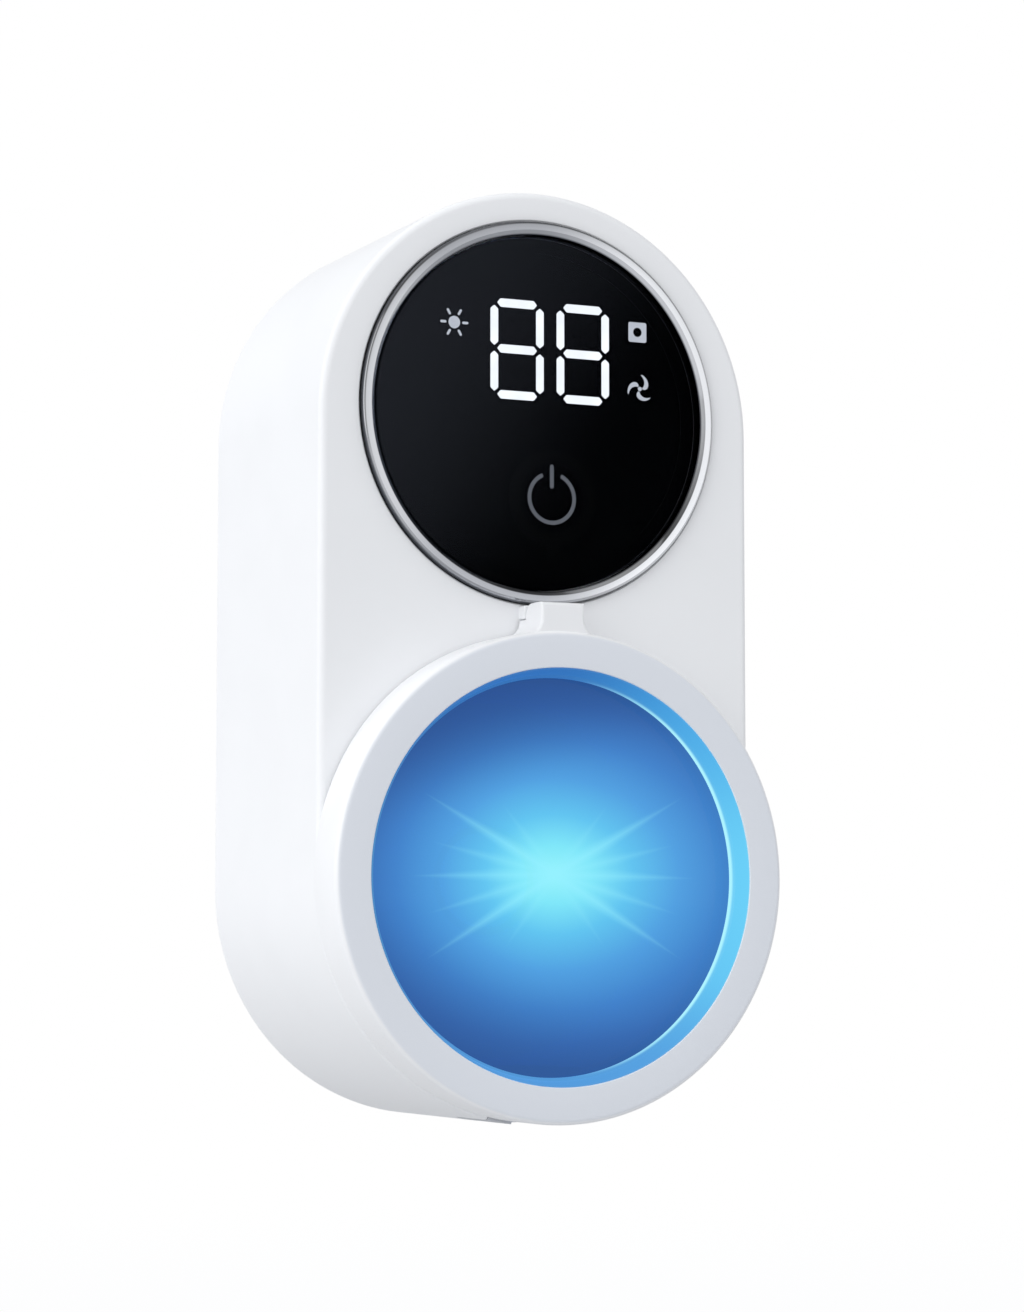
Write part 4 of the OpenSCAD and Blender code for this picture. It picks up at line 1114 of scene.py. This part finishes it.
def display():
    bezel = lathe("bezel", rounded([
        (BEZEL_BORE, BEZEL_BACK, 0.1), (BEZEL_R, BEZEL_BACK, 0.1), (BEZEL_R, FRONT + 0.15, 0.1),
        (BEZEL_R - 0.12, BEZEL_FRONT, 0.62), (BEZEL_BORE + 0.72, BEZEL_FRONT, 0.22),
        (BEZEL_BORE + 0.07, FRONT + 0.5, 0.12)], 8), 0, DISPLAY_Z, 256, sharp=50)
    piece(bezel, "chrome_trim", "bezel_ring")
    lens = lathe("display_glass_disc", rounded([
        (0, LENS_FRONT), (LENS_R, LENS_FRONT, 0.3), (LENS_R, LENS_BACK, 0.15), (0, LENS_BACK)],
        5, closed=False), 0, DISPLAY_Z, 224)
    piece(lens, "display_glass", "display_lens")
    border = lathe("display_border_print", [
        (PRINT_R, LENS_BACK - 0.005), (LENS_R - 0.05, LENS_BACK - 0.005),
        (LENS_R - 0.05, LENS_BACK - 0.028), (PRINT_R, LENS_BACK - 0.028)], 0, DISPLAY_Z)
    piece(border, "mask_black", body=BODY["display_lens"])
    mask = lathe("segment_mask_plate", [
        (0, MASK_FRONT), (25.08, MASK_FRONT), (25.08, FRONT - 6.7), (0, FRONT - 6.7)],
        0, DISPLAY_Z, 160)

    digits = digit_outlines()
    piece(join("digit_bars", [
        prism("bar", o, MARK_BACK, MARK_FRONT, edge1=0.06, steps=2) for o in digits]),
        "segment_white", "digit_segments")

    sun, swirl = sun_outlines(*SUN_AT), swirl_outlines(*SWIRL_AT)
    square = shift(rect(-1.55, 1.55, -1.55, 1.55, 0.3, 5), *SQUARE_AT)
    square_mark = pierced(mark(square), SQUARE_HOLE_R, MARK_BACK, MARK_FRONT)
    square_cut = pierced(opening(square), SQUARE_HOLE_R - MARK_GAP, FRONT - 8, FRONT)
    icons = [mark(o) for o in sun] + [square_mark] + [mark(o) for o in swirl]
    piece(join("icon_marks", icons), "icon_grey", "indicator_icons")

    # power symbol: a ring open at the top, with an upright bar in the gap
    x, z = POWER_AT
    power = [arc_strip(x, z, 3.5, 4.1, 90 + 24, 450 - 24, 96),
             thick_line(x, z + 1.8, x, z + 4.9, 0.62)]
    power_mark = join("power_mark", [mark(o) for o in power])
    piece(power_mark, "icon_grey", "power_symbol")
    power_mark.data.materials[0] = LOOKS["power_dim"]

    # the mask: a black plate whose openings the light guides fill
    openings = [opening(o) for o in digits + sun + swirl + power]
    boolean(mask, join("cuts", openings + [square_cut]))
    piece(mask, "mask_black", "segment_mask")


display()

# ---------------------------------------------------------------- chamber
DOME_R = 7.3
DOME_SPHERE_R = 10.324
DOME_BASE = LINER_FLOOR + 0.05
DOME_RIM = LINER_FLOOR + 2.0
COLLAR_R = 8.85
DISH_R0, DISH_R1 = 9.0, 27.6
DISH_RIBS = 24
DISH_STEPS = 26


def chamber_liner():
    liner = lathe("chamber_bowl", rounded([
        (6.4, LINER_FLOOR), (LINER_R, LINER_FLOOR, 2.2), (LINER_R, FRONT, 0.35),
        (32.4, FRONT, 0.2), (32.4, FRONT - 0.8, 0.1), (LINER_R + 1.2, FRONT - 0.8, 0.2),
        (LINER_R + 1.2, LINER_UNDER, 0.5), (6.4, LINER_UNDER)], 6), 0, WINDOW_Z)
    boolean(liner, prism("cut", slot_outline(SLOT_HALF, FRONT + 3), BOTTOM - 3, WINDOW_Z - 22,
                         axis="z"))
    soften(liner)
    piece(liner, "liner_blue", "chamber_liner")


def reflector():
    """A shallow dish with radial ribs that rise and fade along its slope."""
    seg = DISH_RIBS * 16
    rings = []
    for j in range(DISH_STEPS + 1):
        t = j / DISH_STEPS
        r = DISH_R0 + (DISH_R1 - DISH_R0) * t
        base = LINER_FLOOR + 2.7 + 2.0 * t ** 1.25
        if t < 0.8:
            rise = math.sin(math.pi * min(1.0, t * 1.25 + 0.02))
        else:
            rise = max(0.0, math.sin(math.pi * min(1.0, (1 - t) * 2.5) / 2))
        height = 0.55 * rise ** 0.6
        depths = []
        for k in range(seg):
            turn = abs(((k / seg * DISH_RIBS) + 0.5) % 1.0 - 0.5)
            from_rib = turn * 2 * math.pi / DISH_RIBS * r
            depths.append(base + height * math.exp(-(from_rib / 0.38) ** 2))
        rings.append(ring_points(r, depths, 0, WINDOW_Z))
    # the plain underside
    for j in range(DISH_STEPS, -1, -6):
        t = j / DISH_STEPS
        r = DISH_R0 + (DISH_R1 - DISH_R0) * t
        rings.append(ring_points(r, [LINER_FLOOR + 1.9 + 2.0 * t] * seg, 0, WINDOW_Z))
    piece(join_rings("reflector_dish", rings, True, 40), "reflector_bright", "uv_reflector")


def lamp_lens():
    sphere_f = DOME_RIM - DOME_R
    profile = rounded([(0, DOME_BASE), (DOME_R, DOME_BASE, 0.1), (DOME_R, DOME_RIM)],
                      4, closed=False)[:-1]
    for h in np.linspace(0, 3.02, 18):
        f = DOME_RIM + h
        profile.append((math.sqrt(max(0.0, DOME_SPHERE_R ** 2 - (f - sphere_f) ** 2)), f))
    profile.append((0, sphere_f + DOME_SPHERE_R))
    piece(lathe("quartz_dome", profile, 0, WINDOW_Z, 96, sharp=40), "quartz", "quartz_lens")
    collar_front = LINER_FLOOR + 1.8
    collar = lathe("lens_collar", rounded([
        (7.4, DOME_BASE, 0.1), (COLLAR_R, DOME_BASE, 0.1), (COLLAR_R, collar_front, 0.3),
        (7.4, collar_front, 0.3)], 4), 0, WINDOW_Z, 96)
    piece(collar, "aluminium", "lens_retainer")


def grommet():
    """Soft U-shaped grommet round the brush slot, with a lip outside and inside the wall."""
    f0, f1, inner_f1 = SLOT_F - 9.5, FRONT - 0.3, FRONT - 2.6
    outer_r, inner_r = SHELL_R - 0.02, SHELL_BORE - 0.1

    def lip(z0, z1, r0, r1, f_front):
        ob = prism("lip", slot_outline(8.4, f_front, 14), z0, z1, axis="z")
        boolean(ob, bottom_turned(rounded([
            (r0, f0, 0.1), (r1, f0, 0.35), (r1, f_front, 0.35), (r0, f_front, 0.1)], 4)),
            "INTERSECT")
        return ob

    ob = prism("slot_grommet", slot_outline(6.85, f1, 14), BOTTOM - 1.2, WINDOW_Z - 28.6, axis="z")
    boolean(ob, bottom_turned(rounded([
        (0, f1), (outer_r, f1, 0.3), (outer_r, f0, 0.3), (0, f0)], 4, closed=False)), "INTERSECT")
    outer = lip(BOTTOM - 3, BOTTOM + 3, SHELL_R - 0.88, outer_r, f1)
    inner = lip(BOTTOM - 1, BOTTOM + 6, SHELL_BORE - 1.4, inner_r, inner_f1)
    boolean(ob, outer, "UNION")
    boolean(ob, inner, "UNION")
    # the opening: round behind and open to the front
    half, f_open = 4.6, FRONT + 3
    u_shape = [(half * math.cos(a), SLOT_F + half * math.sin(a))
               for a in np.linspace(0, -math.pi, 40)]
    u_shape = [(half, f_open)] + u_shape + [(-half, f_open)]
    boolean(ob, prism("cut", u_shape, BOTTOM - 5, WINDOW_Z - 20, axis="z"))
    bevel = ob.modifiers.new("edge", "BEVEL")
    bevel.width = 0.00018
    bevel.segments = 2
    bevel.limit_method = "ANGLE"
    bevel.angle_limit = math.radians(40)
    soften(ob)
    piece(ob, "silicone_grey", "neck_grommet")


chamber_liner()
reflector()
lamp_lens()
grommet()

# ---------------------------------------------------------------- door
NECK_HALF = PIN_X1 + 0.1
NECK_FLARE = 2.5
KNUCKLE_R = 2.1


def door_ring():
    ring = lathe("door_ring_body", rounded([
        (DOOR_R, DOOR_BACK, 0.25), (DOOR_R, DOOR_FRONT, 0.95), (31.2, DOOR_FRONT, 0.22),
        (31.2, FRONT + 4.65, 0.1), (32.6, FRONT + 4.65, 0.1), (32.6, DOOR_FRONT - 2.2, 0.3),
        (DOOR_R - 2.2, DOOR_FRONT - 2.2, 0.3), (DOOR_R - 2.2, DOOR_BACK, 0.15)], 8),
        0, WINDOW_Z, 288)
    piece(ring, "door_white", "door_ring")


def hinge_neck():
    """The door's half of the hinge: it flares into the ring, and a slot behind takes the tongue."""
    ring_top = WINDOW_Z + DOOR_R
    side = [(NECK_HALF, PIN_Z + KNUCKLE_R)]
    for a in np.linspace(0, math.pi / 2 * 0.93, 12):
        side.append((NECK_HALF + NECK_FLARE - NECK_FLARE * math.cos(a),
                     ring_top + 1.9 - NECK_FLARE * math.sin(a)))
    side.append((side[-1][0] + 0.4, ring_top - 1.2))
    neck = prism("hinge_neck", side + [(-x, z) for x, z in side[::-1]],
                 FRONT + 0.4, PIN_F + 3.6, edge1=0.55, steps=6)
    # rounds the back of the neck about the pin
    arc = [(PIN_Z + KNUCKLE_R * math.cos(a), PIN_F - KNUCKLE_R * math.sin(a))
           for a in np.linspace(0.04, math.pi / 2, 20)]
    relief = [(PIN_Z + 4.5, FRONT - 1), (PIN_Z + 4.5, PIN_F - 0.08)] + arc
    relief += [(PIN_Z - 0.2, PIN_F - KNUCKLE_R), (PIN_Z - 0.2, FRONT - 1)]
    boolean(neck, prism("cut", relief, -9, 9, axis="x"))
    boolean(neck, prism("cut", rect(PIN_Z - 2.3, PIN_Z + 5, FRONT - 1, PIN_F + 2.6),
                        -2.1, 2.1, axis="x"))
    boolean(neck, prism("cut", circle(PIN_Z, PIN_F, 1.03, 48), -NECK_HALF + 0.6, NECK_HALF + 1,
                        axis="x"))
    soften(neck)
    piece(neck, "door_white", "door_ring")
    neck.data.materials[0] = LOOKS["neck_white"]
    pin = prism("hinge_pin_steel", circle(PIN_Z, PIN_F, 1.0, 48), PIN_X0, PIN_X1, axis="x",
                edge0=0.15, edge1=0.15, steps=3)
    piece(pin, "steel", "hinge_pin")


def window():
    glow = lathe("glow_ring_guide", rounded([
        (31.15, GLOW_BACK, 0.0), (31.15, GLOW_FRONT, 0.05), (30.98, GLOW_FRONT, 0.05),
        (30.35, GLOW_BACK + 1.35, 0.3), (29.92, GLOW_BACK + 0.85, 0.25), (29.92, GLOW_BACK, 0.1)],
        6), 0, WINDOW_Z, 256, sharp=60)
    piece(glow, "glow_blue", "glow_ring")
    pane = lathe("window_pane", rounded([
        (0, WINDOW_FRONT), (WINDOW_R, WINDOW_FRONT, 0.2), (WINDOW_R, WINDOW_BACK, 0.2),
        (0, WINDOW_BACK)], 4, closed=False), 0, WINDOW_Z)
    piece(pane, "window_blue", "door_window")
    retainer = lathe("window_retainer_ring", rounded([
        (30, FRONT + 0.9, 0.25), (34.2, FRONT + 0.9, 0.25), (34.2, FRONT + 2.55, 0.1),
        (30, FRONT + 2.55, 0.1)], 5), 0, WINDOW_Z)
    piece(retainer, "door_white", "window_retainer")
    seal = lathe("door_seal_bead", rounded([
        (30.2, FRONT + 0.86, 0.1), (32.6, FRONT + 0.86, 0.1), (32.6, FRONT + 0.5, 0.15),
        (31.95, FRONT + 0.08, 0.35), (31.05, FRONT + 0.08, 0.35), (30.2, FRONT + 0.5, 0.15)],
        5), 0, WINDOW_Z)
    piece(seal, "silicone_clear", "door_seal")


def port_cover():
    """Charging port flap with its hinge barrel, plug and grip."""
    f0, f1 = USB_F - 4.05, USB_F + 4.15
    flap = prism("flap", rect(FLAP_Z, USB_Z + 6.6, f0, f1, 0.6), SHELL_R - 0.8, SHELL_R - 0.05,
                 axis="x", edge0=0.1, edge1=0.22)
    barrel = prism("barrel", circle(FLAP_X, FLAP_Z, 1.0, 48), f0, f1, edge0=0.1, edge1=0.1)
    plug = prism("plug", capsule(USB_Z, USB_F, 1.35, 2.65), SHELL_R - 1.8, SHELL_R - 0.7,
                 axis="x", edge0=0.3)
    grip = prism("grip", capsule(0, 0, 0.55, 1.95, 12), SHELL_R - 0.3, SHELL_R + 0.45,
                 axis="x", edge1=0.3)
    # the grip is turned to run along f and moved to the flap's upper end
    for v in grip.data.vertices:
        z, f = v.co.z * 1e3, -v.co.y * 1e3
        v.co.z, v.co.y = (USB_Z + 5.55 + f) * 1e-3, -(USB_F + z) * 1e-3
    clean(grip)
    piece(join("port_flap_body", [flap, barrel, plug, grip]), "housing_white", "port_cover")


door_ring()
hinge_neck()
window()
port_cover()

# ---------------------------------------------------------------- stage, light and camera
# seen from behind, the studio is a pale grey, so that the white back and sides stand out
STUDIO_GREY = (0.70, 0.715, 0.74)
FLOOR_HALF = 8  # metres
FLOOR_DROP = 0.055


def stage_material():
    """Diffuse for the light, but white or grey to the camera, with a faint painted shade near the
    middle under the object.
    """
    m = new_material("stage_pale")
    x, y, _ = m.xyz()
    r = m.length(x, y)
    diffuse = m.shader("BsdfDiffuse", Color=(0.60, 0.605, 0.615))
    # faint painted shade on the floor round the spot under the object
    near = m.mix(m.ease(r, 0.0, 0.6), (0.975, 0.98, 0.99), (1.0, 1.0, 1.0))
    incoming_y = m.xyz(m.node("NewGeometry").outputs["Incoming"])[1]
    flat = m.shader("Emission", Color=m.mix(m.ease(incoming_y, 0.0, 0.55), near, STUDIO_GREY))
    return m.done(m.blend(m.node("LightPath").outputs["Is Camera Ray"], diffuse, flat))


def make_floor():
    mesh = bpy.data.meshes.new("floor")
    z = CAD_LO.z - FLOOR_DROP
    corners = [(-1, -1), (1, -1), (1, 1), (-1, 1)]
    mesh.from_pydata([(x * FLOOR_HALF, y * FLOOR_HALF, z) for x, y in corners], [], [(0, 1, 2, 3)])
    floor = new_object("floor", mesh)
    mesh.materials.append(stage_material())


def make_world():
    world = bpy.data.worlds.new("studio")
    bpy.context.scene.world = world
    g = Graph(world)
    x, y, z = g.xyz(g.node("TexCoord").outputs["Generated"])
    # ambient light: strongest from the left, then from above, weakest from below
    left = g.max(x * -1.0, 0.0)
    up = g.max(z, 0.0)
    down = g.max(z * -1.0, 0.0)
    ambient = 0.60 + left * 0.98
    ambient = ambient + up * 0.30
    ambient = ambient - down * 0.25
    light = g.shader("Background", Color=(0.975, 0.985, 1.0), Strength=ambient)
    # reflections see a studio with darker gaps between its soft boxes
    wave = g.math("SINE", g.math("ARCTAN2", x, y) * 3.0)
    bands = g.math("SINE", z * 5.0)
    level = (1.0 - g.math("ABSOLUTE", z, 0.0)) ** 1.6
    shine = 0.62 + wave * 0.34
    shine = shine + bands * 0.10
    shine = shine * (0.22 + level * 1.0)
    shine = g.max(shine, 0.05)
    reflected = g.shader("Background", Color=(0.97, 0.98, 1.0), Strength=shine)
    grey = g.mix(g.ease(y * -1.0, 0.0, 0.55), (1.0, 1.0, 1.0), STUDIO_GREY)
    seen = g.shader("Background", Color=grey, Strength=1.0)
    path = g.node("LightPath")
    lighting = g.blend(path.outputs["Is Glossy Ray"], light, reflected)
    g.done(g.blend(path.outputs["Is Camera Ray"], lighting, seen), "OutputWorld")


def area_light(name, location, size, size_y, power, colour):
    light = bpy.data.lights.new(name, "AREA")
    light.shape = "RECTANGLE"
    light.size = size
    light.size_y = size_y
    light.energy = power
    light.color = colour
    ob = new_object(name, light)
    ob.location = location
    ob.rotation_mode = "QUATERNION"
    aim = Vector((0, -0.02, 0)) - Vector(location)
    ob.rotation_quaternion = aim.to_track_quat("-Z", "Y")


def make_camera():
    """In front, a little to the left and below, looking slightly up."""
    data = bpy.data.cameras.new("camera")
    camera = new_object("camera", data)
    bpy.context.scene.camera = camera
    azimuth, elevation = math.radians(-24.75), math.radians(-4.96)
    distance = 0.505
    target = Vector((-0.00894, -0.05531, -0.00140))
    back = Vector((math.sin(azimuth) * math.cos(elevation),
                   -math.cos(azimuth) * math.cos(elevation), math.sin(elevation)))
    camera.location = target + back * distance
    camera.rotation_mode = "QUATERNION"
    camera.rotation_quaternion = (-back).to_track_quat("-Z", "Y")
    data.sensor_width = 36.0
    data.lens = 93.29
    data.clip_start = 0.02
    data.clip_end = 50.0


make_floor()
make_world()
area_light("key_left", (-0.9, -0.35, 0.35), size=0.7, size_y=0.9, power=1.1,
           colour=(1.0, 0.995, 0.985))
area_light("top_soft", (-0.15, -0.25, 0.9), size=0.8, size_y=0.6, power=0.3,
           colour=(0.99, 0.995, 1.0))
make_camera()

scene = bpy.context.scene
scene.view_settings.view_transform = "Standard"
scene.view_settings.look = "None"
scene.view_settings.exposure = 0.0
scene.view_settings.gamma = 1.0
scene.cycles.max_bounces = 8
scene.cycles.transparent_max_bounces = 12
